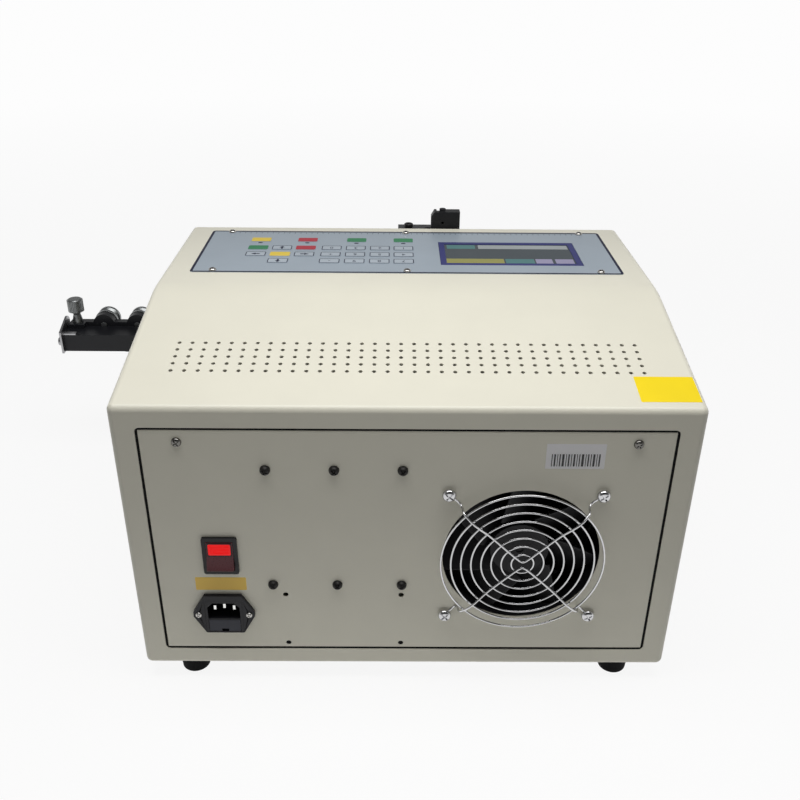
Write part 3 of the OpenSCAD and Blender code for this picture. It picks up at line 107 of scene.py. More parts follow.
def show_white(tree, lighting, shown, output):
    """Gives camera, mirror and glass rays one shader, and the rays that only light the machine another."""
    path = add_node(tree, "ShaderNodeLightPath")
    mirror = combine(tree, "MAXIMUM", path.outputs["Is Camera Ray"], path.outputs["Is Glossy Ray"])
    white_ray = combine(tree, "MAXIMUM", mirror, path.outputs["Is Transmission Ray"])
    either = add_node(tree, "ShaderNodeMixShader")
    out = add_node(tree, output)
    tree.links.new(white_ray, either.inputs[0])
    tree.links.new(lighting.outputs[0], either.inputs[1])
    tree.links.new(shown.outputs[0], either.inputs[2])
    tree.links.new(either.outputs[0], out.inputs["Surface"])


bpy.ops.object.select_all(action="DESELECT")
bpy.ops.mesh.primitive_plane_add(size=paper_size)
floor = bpy.context.object
floor.name = "studio_floor"
paper = bpy.data.materials.new("studio_paper")
paper.use_nodes = True
tree = paper.node_tree
tree.nodes.clear()
place = add_node(tree, "ShaderNodeTexCoord")
distance = add_node(tree, "ShaderNodeVectorMath")
distance.operation = "LENGTH"
bounce = add_node(tree, "ShaderNodeBsdfDiffuse")
shaded = add_node(tree, "ShaderNodeBsdfDiffuse", Color=(paper_shade, paper_shade, paper_shade, 1))
glow = add_node(tree, "ShaderNodeEmission", Color=plain_white)
lit = add_node(tree, "ShaderNodeAddShader")
tree.links.new(place.outputs["Object"], distance.inputs[0])
glow_level = map_range(tree, distance.outputs["Value"], paper_reach, paper_glow)
bounce_level = map_range(tree, distance.outputs["Value"], sheet_reach, sheet_bounce)
tree.links.new(glow_level, glow.inputs["Strength"])
tree.links.new(bounce_level, bounce.inputs["Color"])
tree.links.new(shaded.outputs[0], lit.inputs[0])
tree.links.new(glow.outputs[0], lit.inputs[1])
show_white(tree, bounce, lit, "ShaderNodeOutputMaterial")
floor.data.materials.append(paper)

room = bpy.data.worlds.new("studio_room")
room.use_nodes = True
scene.world = room
tree = room.node_tree
tree.nodes.clear()
ambient = add_node(tree, "ShaderNodeBackground", Color=plain_white, Strength=room_light)
backdrop = add_node(tree, "ShaderNodeBackground", Color=plain_white)
way = add_node(tree, "ShaderNodeTexCoord")
axes = add_node(tree, "ShaderNodeSeparateXYZ")
path = add_node(tree, "ShaderNodeLightPath")
tree.links.new(way.outputs["Generated"], axes.inputs[0])
ceiling = map_range(tree, axes.outputs["Z"], ceiling_reach, ceiling_light)
aisle = map_range(tree, axes.outputs["Y"], aisle_reach, aisle_light)
dim = combine(tree, "MULTIPLY", ceiling, aisle)
seen = combine(tree, "MAXIMUM", dim, path.outputs["Is Camera Ray"])
tree.links.new(seen, backdrop.inputs["Strength"])
show_white(tree, ambient, backdrop, "ShaderNodeOutputWorld")

bpy.ops.object.light_add(type="AREA", location=box_place)
soft_box = bpy.context.object
soft_box.name = "soft_box"
soft_box.data.shape = "RECTANGLE"
soft_box.data.size = box_size[0]
soft_box.data.size_y = box_size[1]
soft_box.data.energy = box_power
soft_box.visible_camera = False


# The camera stands half a metre behind the machine and looks down on its back from 28 degrees. It is turned
# and tilted by half a degree, as the photograph is, and has the photograph's field of view.
camera_place = (casing_x + 10 * mm, rear_y + 508.475 * mm, 510 * mm)
camera_down = math.radians(27.86)
camera_yaw = math.radians(-0.50)
camera_roll = math.radians(-0.55)
camera_sensor = 36
camera_lens = 40.35
camera_near = 0.01
aim = (
    Matrix.Rotation(math.pi + camera_yaw, 3, "Z")
    @ Matrix.Rotation(math.pi / 2 - camera_down, 3, "X")
    @ Matrix.Rotation(-camera_roll, 3, "Z")
)
bpy.ops.object.camera_add(location=camera_place, rotation=aim.to_euler())
camera = bpy.context.object
camera.data.sensor_width = camera_sensor
camera.data.lens = camera_lens
camera.data.clip_start = camera_near
scene.camera = camera


# The casing is folded from 1.5 mm sheet steel and powder coated in a semi-gloss ivory.
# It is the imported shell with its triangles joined, so that the folds shade smoothly.
ivory = (0.80, 0.775, 0.655)
relief_depth = 0.05 * mm
join_reach = 0.005 * mm
flat_angle = math.radians(0.4)


def surface(name, colour, drift, roughness, grain, relief, stretch=(1, 1, 1), **sockets):
    """A finish whose colour drifts in soft clouds, with a fine grain in its gloss and its relief."""
    material = bpy.data.materials.new(name)
    material.use_nodes = True
    tree = material.node_tree
    shader = tree.nodes["Principled BSDF"]
    set_sockets(shader, sockets)
    place = add_node(tree, "ShaderNodeTexCoord")
    lie = add_node(tree, "ShaderNodeMapping", Scale=stretch)
    clouds = add_node(tree, "ShaderNodeTexNoise", Scale=22, Detail=3, Roughness=0.55)
    fine = add_node(tree, "ShaderNodeTexNoise", Scale=grain, Detail=2, Roughness=0.6)
    bump = add_node(tree, "ShaderNodeBump", Strength=relief, Distance=relief_depth)
    tint = add_node(tree, "ShaderNodeValToRGB")
    for stop, position, change in zip(tint.color_ramp.elements, (0.3, 0.7), (-drift, drift)):
        stop.position = position
        stop.color = [min(1, c * (1 + change)) for c in colour] + [1]
    gloss = map_range(tree, fine.outputs[0], (0, 1), (roughness * 0.85, min(1, roughness * 1.15)))
    tree.links.new(place.outputs["Object"], clouds.inputs["Vector"])
    tree.links.new(place.outputs["Object"], lie.inputs["Vector"])
    tree.links.new(lie.outputs["Vector"], fine.inputs["Vector"])
    tree.links.new(clouds.outputs[0], tint.inputs[0])
    tree.links.new(tint.outputs[0], shader.inputs["Base Color"])
    tree.links.new(gloss, shader.inputs["Roughness"])
    tree.links.new(fine.outputs[0], bump.inputs["Height"])
    tree.links.new(bump.outputs[0], shader.inputs["Normal"])
    return material


def activate(piece):
    """Selects the piece alone, so that the next operator acts on nothing else."""
    bpy.ops.object.select_all(action="DESELECT")
    piece.select_set(True)
    bpy.context.view_layer.objects.active = piece


def merged_copy(node, name):
    """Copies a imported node's mesh into a new piece and joins its loose triangles."""
    piece = bpy.data.objects.new(name, nodes[node].data.copy())
    scene.collection.objects.link(piece)
    activate(piece)
    piece.data.materials.clear()
    bpy.ops.mesh.customdata_custom_splitnormals_clear()
    bpy.ops.object.mode_set(mode="EDIT")
    bpy.ops.mesh.select_all(action="SELECT")
    bpy.ops.mesh.remove_doubles(threshold=join_reach)
    bpy.ops.mesh.dissolve_limited(angle_limit=flat_angle)
    bpy.ops.object.mode_set(mode="OBJECT")
    return piece


def even_shading(piece, angle=32):
    """Shades the piece smooth up to that angle, with the large faces kept flat."""
    activate(piece)
    bpy.ops.object.shade_smooth_by_angle(angle=math.radians(angle))
    even = piece.modifiers.new("even_shading", "WEIGHTED_NORMAL")
    even.keep_sharp = True
    bpy.ops.object.modifier_apply(modifier=even.name)


def fit(piece, material, body, slot, *replaced):
    """Gives a finished piece its material and its place on the machine."""
    piece.data.materials.clear()
    piece.data.materials.append(material)
    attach(piece, body)
    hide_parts(*replaced)


powder_coat = surface(
    "ivory_powder_coat", ivory, drift=0.015, roughness=0.42, grain=1400, relief=0.12,
    Coat_Weight=0.15, Coat_Roughness=0.3,
)
casing = merged_copy("casing_shell", "casing_cover")
even_shading(casing)
fit(casing, powder_coat, "machine", "casing_paint", "casing_shell")


# The rear panel is a separate sheet in the same coat, let into the casing's back. Its edges are rolled in a
# little. A black strip in the gap round it and black discs in its two lowest holes are painted shade.
roll_reach = 2.6 * mm
roll_drop = 0.9 * mm
roll_cuts = (0.12, 0.35, 1)
face_reach = 0.01 * mm
painted_shade_colour = (0.006, 0.006, 0.006)
gap_shade_margin = 1.15 * mm
gap_shade_width = 1.8 * mm
gap_shade_thick = 0.75 * mm
gap_shade_corner = 3.4 * mm
gap_shade_inset = 1.05 * mm
hole_shade_width = 3.9 * mm
hole_shade_thick = 0.4 * mm
hole_shade_corner = 0.48 * hole_shade_width
hole_shade_inset = 0.9 * mm
hole_shade_columns = (3.4 * mm, 87 * mm)
hole_shade_rise = 21.35 * mm
panel_low, panel_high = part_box("rear_panel")
panel_middle = (panel_low + panel_high) / 2
panel_y = panel_high.y
to_rear = -math.pi / 2


def panel_margin(point):
    """How far a point of the panel lies inside its outline."""
    return min(point.x - panel_low.x, panel_high.x - point.x, point.z - panel_low.z, panel_high.z - point.z)


def thicken(thick):
    """Raises the flat faces that are open in edit mode to a closed plate."""
    bpy.ops.mesh.select_all(action="SELECT")
    bpy.ops.mesh.extrude_region_move(TRANSFORM_OT_translate={"value": (0, 0, thick)})
    bpy.ops.mesh.select_all(action="SELECT")
    bpy.ops.mesh.normals_make_consistent(inside=False)
    bpy.ops.object.mode_set(mode="OBJECT")


def plate(name, width, depth, thick, corner, outline=0):
    """A flat plate with round corners on the ground plane, or only its outline at that width."""
    bpy.ops.object.select_all(action="DESELECT")
    bpy.ops.mesh.primitive_plane_add(size=1)
    piece = bpy.context.object
    piece.name = name
    piece.scale = (width, depth, 1)
    bpy.ops.object.transform_apply(location=False, rotation=False, scale=True)
    bpy.ops.object.mode_set(mode="EDIT")
    bpy.ops.mesh.select_mode(type="FACE")
    bpy.ops.mesh.select_all(action="SELECT")
    bpy.ops.mesh.bevel(offset=corner, segments=4, affect="VERTICES")
    bpy.ops.mesh.select_all(action="SELECT")
    if outline:
        bpy.ops.mesh.inset(thickness=outline, depth=0)
        bpy.ops.mesh.delete(type="FACE")
    thicken(thick)
    return piece


def settle(piece, place, turn=0):
    """Turns a piece about X, moves it to its place and keeps both in its mesh."""
    activate(piece)
    piece.rotation_euler = (turn, 0, 0)
    piece.location = place
    bpy.ops.object.transform_apply()


def set_copies(model, places, turn=0, first_spin=0, next_spin=0):
    """Sets a copy of the model, with its own mesh, at each place, each spun on from the one before."""
    copies = []
    for count, place in enumerate(places):
        copy = bpy.data.objects.new(f"{model.name}_{count}", model.data.copy())
        copy.data.transform(Matrix.Rotation(first_spin + next_spin * count, 4, "Z"))
        scene.collection.objects.link(copy)
        settle(copy, place, turn)
        copies.append(copy)
    bpy.data.objects.remove(model)
    return copies


def unite(name, pieces):
    """Joins the pieces into one with the given name."""
    activate(pieces[0])
    for piece in pieces:
        piece.select_set(True)
    bpy.ops.object.join()
    united = bpy.context.object
    united.name = name
    return united


panel = merged_copy("rear_panel", "rear_cover_panel")
bpy.ops.object.mode_set(mode="EDIT")
for share in roll_cuts:
    inside = share * roll_reach
    cuts = [((x, 0, 0), (1, 0, 0)) for x in (panel_low.x + inside, panel_high.x - inside)]
    cuts += [((0, 0, z), (0, 0, 1)) for z in (panel_low.z + inside, panel_high.z - inside)]
    for place, across in cuts:
        bpy.ops.mesh.select_all(action="SELECT")
        bpy.ops.mesh.bisect(plane_co=place, plane_no=across)
bpy.ops.object.mode_set(mode="OBJECT")
for vertex in panel.data.vertices:
    inside = max(0, panel_margin(vertex.co)) / roll_reach
    if inside < 1 and abs(vertex.co.y - panel_y) < face_reach:
        vertex.co.y -= roll_drop * (1 - math.sqrt(1 - (1 - inside) ** 2))
even_shading(panel, 40)
fit(panel, powder_coat, "machine", "panel_paint", "rear_panel")

# A flat black for painted shade, used for the strip in the panel's gap and the discs in its lowest holes.
painted_shade_black = surface(
    "painted_shade_black", painted_shade_colour, drift=0.1, roughness=0.7, grain=900, relief=0.2, Specular_IOR_Level=0.1
)
# Painted shade: a black strip in the gap round the panel, to darken the gap.
gap_shade_size = (panel_high.x - panel_low.x + 2 * gap_shade_margin, panel_high.z - panel_low.z + 2 * gap_shade_margin)
gap_shade = plate("painted_gap_shade", *gap_shade_size, gap_shade_thick, gap_shade_corner, outline=gap_shade_width)
settle(gap_shade, (panel_middle.x, panel_y - gap_shade_inset, panel_middle.z), to_rear)
even_shading(gap_shade)
fit(gap_shade, painted_shade_black, "machine", "panel_paint")

# Painted shade: black discs just inside the two lowest holes, to darken them.
hole_shade_disc = plate("painted_hole_shade", hole_shade_width, hole_shade_width, hole_shade_thick, hole_shade_corner)
hole_shade_places = [(casing_x + x, panel_y - hole_shade_inset, casing_low.z + hole_shade_rise) for x in hole_shade_columns]
painted_hole_shades = unite("painted_hole_shades", set_copies(hole_shade_disc, hole_shade_places, to_rear))
even_shading(painted_hole_shades)
fit(painted_hole_shades, painted_shade_black, "machine", "panel_paint")


# The base plate closes the casing's underside: a sheet of the same steel in the same coat.
# Four feet moulded in black rubber stand under it and carry the machine.
rubber_black = (0.006, 0.006, 0.007)
weld_reach = 0.003 * mm
sharp_angle = math.radians(35)


def dress(material, *names, edge):
    """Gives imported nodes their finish, and a fine round on every sharp edge."""
    for name in names:
        piece = nodes[name]
        piece.data.materials.clear()
        piece.data.materials.append(material)
        joined = piece.modifiers.new("joined", "WELD")
        joined.merge_threshold = weld_reach
        flat = piece.modifiers.new("flat_faces", "DECIMATE")
        flat.decimate_type = "DISSOLVE"
        flat.angle_limit = flat_angle
        soft = piece.modifiers.new("soft_edges", "BEVEL")
        soft.width = edge
        soft.segments = 2
        soft.limit_method = "ANGLE"
        soft.angle_limit = sharp_angle
        soft.harden_normals = False
        piece.modifiers.new("even_shading", "WEIGHTED_NORMAL")


foot_rubber = surface(
    "foot_rubber", rubber_black, drift=0.1, roughness=0.75, grain=900, relief=0.3, Specular_IOR_Level=0.12
)
dress(powder_coat, "base_plate", edge=0.2 * mm)
dress(foot_rubber, "rubber_feet", edge=0.4 * mm)


# The fan sits inside the panel, behind its round hole, and hangs on the guard's four screws.
# Its frame and its impeller are moulded in black glass-filled plastic.
fan_black = (0.012, 0.012, 0.014)
fan_plastic = surface(
    "fan_plastic", fan_black, drift=0.08, roughness=0.5, grain=1100, relief=0.2, Specular_IOR_Level=0.3
)
dress(fan_plastic, "fan_frame", edge=0.4 * mm)
dress(fan_plastic, "fan_impeller", edge=0.25 * mm)


# The guard is bent and welded from chromed wire: eight rings, four eyelets under the screws, and two spokes
# that run from eyelet to middle to eyelet in front of the rings. Wires are given by their radius.
ring_count = 8
ring_first = 7.8 * mm
ring_pitch = 7.05 * mm
ring_wire = 0.7 * mm
spoke_wire = 0.8 * mm
eyelet_radius = 3.1 * mm
small_ring = 5 * mm
screw_pitch = 105 * mm
guard_low, guard_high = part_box("fan_guard")
fan_middle = (guard_low + guard_high) / 2
ring_y = guard_high.y - 2 * spoke_wire - ring_wire
chrome_grey = (0.6, 0.6, 0.61)
chrome = surface(
    "bright_chrome", chrome_grey, drift=0.03, roughness=0.1, grain=700, relief=0.02, Metallic=1.0
)


def wire_ring(radius, wire):
    """A closed ring of round wire that stands like the panel."""
    bpy.ops.object.select_all(action="DESELECT")
    bpy.ops.mesh.primitive_torus_add(
        rotation=(math.pi / 2, 0, 0),
        major_radius=radius,
        minor_radius=wire,
        major_segments=96 if radius > small_ring else 32,
        minor_segments=12,
    )
    bpy.ops.object.transform_apply()
    return bpy.context.object


def bent_wire(points, wire):
    """A length of round wire that follows the points, with rounded bends and closed ends."""
    bpy.ops.object.select_all(action="DESELECT")
    bpy.ops.curve.primitive_bezier_curve_add(location=(0, 0, 0))
    piece = bpy.context.object
    curve = piece.data
    curve.splines.clear()
    spline = curve.splines.new("BEZIER")
    spline.bezier_points.add(len(points) - 1)
    for knot, point in zip(spline.bezier_points, points):
        knot.co = point
        knot.handle_left_type = "AUTO"
        knot.handle_right_type = "AUTO"
    curve.dimensions = "3D"
    curve.resolution_u = 6
    curve.bevel_depth = wire
    curve.bevel_resolution = 4
    curve.use_fill_caps = True
    bpy.ops.object.convert(target="MESH")
    return bpy.context.object


def guard_spoke(up):
    """One spoke: in from an eyelet, up over the rings, round the middle and back out."""
    ring_edge = ring_first + (ring_count - 1) * ring_pitch
    foot_y = panel_y + spoke_wire
    front_y = ring_y + ring_wire + spoke_wire * 0.9
    corner = screw_pitch / 2 - (eyelet_radius + spoke_wire) * math.cos(math.pi / 4)
    rise = ring_edge * math.cos(math.pi / 4) + 2 * mm
    half = [
        (corner, foot_y, corner),
        (rise + 2.2 * mm, foot_y, rise + 2.2 * mm),
        (rise - 0.6 * mm, front_y, rise - 0.6 * mm),
        (rise * 0.5, front_y, rise * 0.5 + 0.5 * mm),
        (4 * mm, front_y, 5 * mm),
        (1.6 * mm, front_y, 3.1 * mm),
    ]
    bend = [(0, front_y, 2.5 * mm)]
    route = half + bend + [(-x, y, z) for x, y, z in reversed(half)]
    return bent_wire([(fan_middle.x + x, y, fan_middle.z + up * z) for x, y, z in route], spoke_wire)


screw_sides = (-screw_pitch / 2, screw_pitch / 2)
fan_screws = [(fan_middle.x + x, fan_middle.z + z) for x in screw_sides for z in screw_sides]
eyelet_places = [(x, panel_y + spoke_wire, z) for x, z in fan_screws]
wires = [wire_ring(ring_first + i * ring_pitch, ring_wire) for i in range(ring_count)]
for wire in wires:
    settle(wire, (fan_middle.x, ring_y, fan_middle.z))
wires += set_copies(wire_ring(eyelet_radius, spoke_wire), eyelet_places)
wires += [guard_spoke(1), guard_spoke(-1)]
guard = unite("fan_wire_guard", wires)
bpy.ops.object.shade_smooth()
fit(guard, chrome, "machine", "chrome_wire", "fan_guard")


# Pan head screws with a pressed cross recess: chromed ones hold the fan, nickel plated ones the panel, zinc
# plated ones the film and the inlet, and black ones the drivers. Heads are given by radius and height.
screw_zinc = (0.5, 0.49, 0.47)
screw_nickel = (0.17, 0.165, 0.155)
screw_black = (0.02, 0.019, 0.018)
fan_head = (4.8 * mm, 3 * mm)
bolt_head = (3.65 * mm, 4 * mm)
film_head = (3.2 * mm, 2 * mm)
panel_head = (3.4 * mm, 2.4 * mm)
inlet_head = (2.4 * mm, 1.6 * mm)
film_screw_margin = (18 * mm, 4 * mm)
film_sink = 0.3 * mm
panel_screw_margin = (25.3 * mm, 9.6 * mm)
inlet_screw_margin = 3.9 * mm


def choose(piece, kind, wanted):
    """Opens the piece in edit mode with only the wanted faces or edges selected."""
    activate(piece)
    bpy.ops.object.mode_set(mode="EDIT")
    bpy.ops.mesh.select_mode(type=kind)
    bpy.ops.mesh.select_all(action="DESELECT")
    bpy.ops.object.mode_set(mode="OBJECT")
    elements = piece.data.polygons if kind == "FACE" else piece.data.edges
    for element in elements:
        element.select = wanted(element)
    bpy.ops.object.mode_set(mode="EDIT")


def pan_head(radius, height):
    """A domed screw head on the ground plane with a cross pressed into its top."""
    bpy.ops.object.select_all(action="DESELECT")
    middle = (0, 0, height / 2)
    bpy.ops.mesh.primitive_cylinder_add(vertices=32, radius=radius, depth=height, location=middle)
    head = bpy.context.object
    bpy.ops.object.transform_apply()
    top_face = [face for face in head.data.polygons if face.normal.z > 0.9][0]
    rim = {tuple(sorted(key)) for key in top_face.edge_keys}
    choose(head, "EDGE", lambda edge: tuple(sorted(edge.vertices)) in rim)
    bpy.ops.mesh.bevel(offset=height * 0.9, segments=5, profile=0.5)
    bpy.ops.object.mode_set(mode="OBJECT")
    for turn in (0, math.pi / 2):
        bpy.ops.object.select_all(action="DESELECT")
        bpy.ops.mesh.primitive_cube_add(size=1, location=(0, 0, height), rotation=(0, 0, turn))
        bar = bpy.context.object
        bar.scale = (radius * 1.25, radius * 0.24, height * 0.9)
        bpy.ops.object.transform_apply()
        activate(head)
        recess = head.modifiers.new("cross_recess", "BOOLEAN")
        recess.operation = "DIFFERENCE"
        recess.object = bar
        bpy.ops.object.modifier_apply(modifier=recess.name)
        bpy.data.objects.remove(bar)
    return head


def set_heads(name, size, places, turn):
    """Stands a copy of one screw head at each place and joins the copies."""
    heads = unite(name, set_copies(pan_head(*size), places, turn, first_spin=0.5, next_spin=1.7))
    even_shading(heads, 40)
    return heads


zinc = surface("zinc_plate", screw_zinc, drift=0.08, roughness=0.2, grain=900, relief=0.1, Metallic=1.0)
nickel = surface(
    "black_nickel", screw_nickel, drift=0.08, roughness=0.18, grain=900, relief=0.1, Metallic=1.0
)
black_oxide = surface(
    "black_oxide", screw_black, drift=0.1, roughness=0.42, grain=900, relief=0.15, Metallic=0.6
)
fan_head_y = panel_y + 2 * spoke_wire
fan_heads = set_heads("fan_screw_heads", fan_head, [(x, fan_head_y, z) for x, z in fan_screws], to_rear)
fit(fan_heads, chrome, "machine", "chrome_wire", "fan_screws")

bolt_low, bolt_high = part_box("driver_bolts")
bolt_radius = bolt_head[0]
bolt_columns = (bolt_low.x + bolt_radius, (bolt_low.x + bolt_high.x) / 2, bolt_high.x - bolt_radius)
bolt_rows = (bolt_low.z + bolt_radius, bolt_high.z - bolt_radius)
bolt_places = [(x, panel_y, z) for x in bolt_columns for z in bolt_rows]
bolt_heads = set_heads("driver_bolt_heads", bolt_head, bolt_places, to_rear)
fit(bolt_heads, black_oxide, "machine", "black_screw", "driver_bolts")

film_low, film_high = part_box("control_overlay")
film_x = (film_low.x + film_high.x) / 2
film_y = (film_low.y + film_high.y) / 2
film_z = film_high.z - film_sink
film_screw_columns = (film_low.x + film_screw_margin[0], film_x, film_high.x - film_screw_margin[0])
film_screw_rows = (film_low.y + film_screw_margin[1], film_high.y - film_screw_margin[1])
film_places = [(x, y, film_z) for x in film_screw_columns for y in film_screw_rows]
panel_screw_z = panel_high.z - panel_screw_margin[1]
panel_screw_columns = (panel_low.x + panel_screw_margin[0], panel_high.x - panel_screw_margin[0])
panel_places = [(x, panel_y, panel_screw_z) for x in panel_screw_columns]
flange_low, flange_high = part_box("inlet_flange")
inlet_z = (flange_low.z + flange_high.z) / 2
inlet_screw_columns = (flange_low.x + inlet_screw_margin, flange_high.x - inlet_screw_margin)
inlet_places = [(x, flange_high.y, inlet_z) for x in inlet_screw_columns]
film_heads = set_heads("film_screw_heads", film_head, film_places, 0)
panel_heads = set_heads("panel_screw_heads", panel_head, panel_places, to_rear)
inlet_heads = set_heads("inlet_screw_heads", inlet_head, inlet_places, to_rear)
small_heads = unite("small_screw_heads", [film_heads, inlet_heads])
fit(panel_heads, nickel, "machine", "zinc_screw", "panel_screws")
fit(small_heads, zinc, "machine", "zinc_screw", "panel_screws")


# The rocker switch snaps into the panel: a black housing, and a dark red rocker with a ridged lens in its
# upper half, which is pressed in. The lens is bright red with a painted glow. A black shade lies round the
# lens.
lens_size = (15.8 * mm, 9.3 * mm)
lens_corner = 1 * mm
lens_rise = 6.1 * mm
lens_seat = 2.14 * mm
lens_proud = 0.5 * mm
shade_size = (lens_size[0] + 1.6 * mm, lens_size[1] + 1.6 * mm)
shade_thick = lens_proud * 0.8
shade_corner = 0.6 * mm
ridge_count = 6
ridge_pitch = 1.3 * mm
ridge_size = (lens_size[0] - 2.4 * mm, 0.55 * mm)
ridge_thick = lens_proud * 0.7
ridge_corner = 0.2 * mm
switch_low, switch_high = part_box("switch_body")
switch_x = (switch_low.x + switch_high.x) / 2
lens_y = panel_y + lens_seat
lens_z = (switch_low.z + switch_high.z) / 2 + lens_rise
switch_black = (0.009, 0.009, 0.01)
dark_red = (0.1, 0.022, 0.028)
lit_red = (0.52, 0.005, 0.008)
painted_glow_red = (1, 0.01, 0.01, 1)
switch_plastic = surface(
    "switch_plastic", switch_black, drift=0.08, roughness=0.35, grain=1000, relief=0.12,
    Specular_IOR_Level=0.3,
)
rocker_red = surface(
    "rocker_dark_red", dark_red, drift=0.1, roughness=0.28, grain=600, relief=0.05, Specular_IOR_Level=0.35
)
# Painted glow: the lens is given a red emission, though it holds no lamp.
lens_red = surface(
    "rocker_red_painted_glow", lit_red, drift=0.12, roughness=0.25, grain=500, relief=0.05,
    Specular_IOR_Level=0.25, Emission_Color=painted_glow_red, Emission_Strength=0.5,
)
dress(switch_plastic, "switch_body", edge=0.3 * mm)
dress(rocker_red, "switch_rocker", edge=0.3 * mm)

shade = plate("rocker_shade", *shade_size, shade_thick, shade_corner)
settle(shade, (switch_x, lens_y, lens_z), to_rear)
even_shading(shade, 30)
fit(shade, switch_plastic, "rocker", "rocker_plastic")

pane = plate("rocker_pane", *lens_size, lens_proud, lens_corner)
settle(pane, (switch_x, lens_y, lens_z), to_rear)
ridge = plate("rocker_ridge", *ridge_size, ridge_thick, ridge_corner)
ridge_y = lens_y + lens_proud * 0.98
ridge_rows = [lens_z + (i - (ridge_count - 1) / 2) * ridge_pitch for i in range(ridge_count)]
ridges = set_copies(ridge, [(switch_x, ridge_y, z) for z in ridge_rows], to_rear)
lens = unite("rocker_lens", [pane] + ridges)
even_shading(lens, 30)
fit(lens, lens_red, "rocker", "rocker_plastic")


# The mains inlet is moulded in charcoal plastic and screwed to the panel by its flange, with plated pins in
# its socket and a fuse drawer under it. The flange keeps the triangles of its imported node.
inlet_black = (0.011, 0.011, 0.014)
pin_silver = (0.86, 0.86, 0.84)
drawer_grey = (0.03, 0.032, 0.045)
inlet_plastic = surface(
    "inlet_plastic", inlet_black, drift=0.08, roughness=0.42, grain=1000, relief=0.2, Specular_IOR_Level=0.3
)
pin_plate = surface(
    "pin_plate", pin_silver, drift=0.05, roughness=0.25, grain=900, relief=0.05, Metallic=1.0
)
drawer_plastic = surface(
    "drawer_plastic", drawer_grey, drift=0.08, roughness=0.4, grain=1000, relief=0.2, Specular_IOR_Level=0.3
)
dress(inlet_plastic, "inlet_flange", edge=0.35 * mm)
flange_finish = nodes["inlet_flange"].modifiers
flange_finish.remove(flange_finish["flat_faces"])
dress(inlet_plastic, "inlet_body", edge=0.25 * mm)
dress(drawer_plastic, "fuse_drawer", edge=0.3 * mm)
dress(pin_plate, "inlet_pins", edge=0.2 * mm)


# Paper and vinyl labels are stuck on the coat: an ochre one over the inlet, a pale one with plain bars on
# the panel, and a bare yellow one on the slanted top. Places are from the casing's middle and underside.
label_thick = 0.06 * mm
ochre_size = (36.5 * mm, 11.5 * mm)
ochre_place = (casing_x + 133 * mm, panel_y, casing_low.z + 76.9 * mm)
pale_size = (39.6 * mm, 19.3 * mm)
pale_place = Vector((casing_x - 111.7 * mm, panel_y, casing_low.z + 185.2 * mm))
bar_widths = (1.0, 0.5, 1.4, 0.6, 0.9, 0.5, 1.6, 0.7, 0.5, 1.2, 0.6, 1.0, 0.5, 1.5, 0.8, 0.5, 1.1, 0.6)
bar_depth = 9.5 * mm
bar_gap = 1.0 * mm
bar_start = -16.5 * mm
bar_drop = 2.9 * mm
bar_corner = 0.05 * mm
yellow_size = (40.1 * mm, 27.4 * mm)
yellow_side = 172.4 * mm
yellow_down = 21.7 * mm
slant_rise = 28 * mm
slant_run = 145 * mm
slant = math.atan2(slant_rise, slant_run)


def label(name, size, corner, colour, place, turn, slot):
    """A thin printed label in its own colour, stuck on at its place."""
    piece = plate(name, *size, label_thick, corner)
    settle(piece, place, turn)
    ink = surface(f"{name}_print", colour, drift=0.03, roughness=0.45, grain=1600, relief=0.08)
    fit(piece, ink, "machine", slot)


label("ochre_label", ochre_size, 0.8 * mm, (1.0, 0.66, 0.12), ochre_place, to_rear, "panel_paint")
label("pale_label", pale_size, 0.4 * mm, (0.93, 0.92, 0.93), pale_place, to_rear, "panel_paint")
ink_black = surface("label_ink", (0.03, 0.03, 0.032), drift=0.1, roughness=0.6, grain=1600, relief=0.05)
bars = []
bar_x = bar_start
for width in bar_widths:
    bar = plate("label_bar", width * mm, bar_depth, label_thick, bar_corner)
    settle(bar, pale_place + Vector((bar_x + width * mm / 2, label_thick, -bar_drop)), to_rear)
    bars.append(bar)
    bar_x += width * mm + bar_gap
label_bars = unite("label_bars", bars)
fit(label_bars, ink_black, "machine", "panel_paint")
yellow_y = rear_y - yellow_down * math.cos(slant)
yellow_z = roof_z - slant_rise + yellow_down * math.sin(slant)
yellow_place = (casing_x - yellow_side, yellow_y, yellow_z)
label("yellow_label", yellow_size, 0.6 * mm, (0.97, 0.73, 0.001), yellow_place, -slant, "casing_paint")


# The control film is printed polycarbonate, glued on the flat top: blue-grey with a dark border, a ruler
# along the front, and 23 domed keys. Keys are named by column and row from the film's middle.
film_blue = (0.33, 0.385, 0.44)
film_navy = (0.008, 0.01, 0.035)
ruler_grey = (0.07, 0.085, 0.12)
ink_thick = 0.04 * mm
border_width = 2.2 * mm
border_corner = 3 * mm
ruler_y = film_y - 48.9 * mm
ruler_size = (314 * mm, 0.8 * mm)
ruler_drop = 2.4 * mm
tick_size = (0.5 * mm, 3.2 * mm)
tick_count = 63
tick_pitch = 5 * mm
tick_start = -155 * mm
line_corner = 0.1 * mm
key_size = (16.9 * mm, 10.4 * mm)
key_corner = 1.4 * mm
key_rim = 0.7 * mm
key_columns = [c * mm for c in (127.8, 107.3, 86.8, 64.5, 43.7, 22.9, 2.6)]
key_rows = [r * mm for r in (-29, -7, 10, 27)]
digit_height = 6.5 * mm
arrow_radius = 2.6 * mm
arrow_reach = 1.4 * mm
shaft_size = (3.6 * mm, 1.7 * mm)
shaft_reach = 1.6 * mm
lamp_size = (4 * mm, 2.6 * mm)
lamp_corner = 1.2 * mm
lamp_rise = 8.2 * mm
film_finish = surface(
    "printed_film", film_blue, drift=0.03, roughness=0.34, grain=900, relief=0.1, Specular_IOR_Level=0.3
)
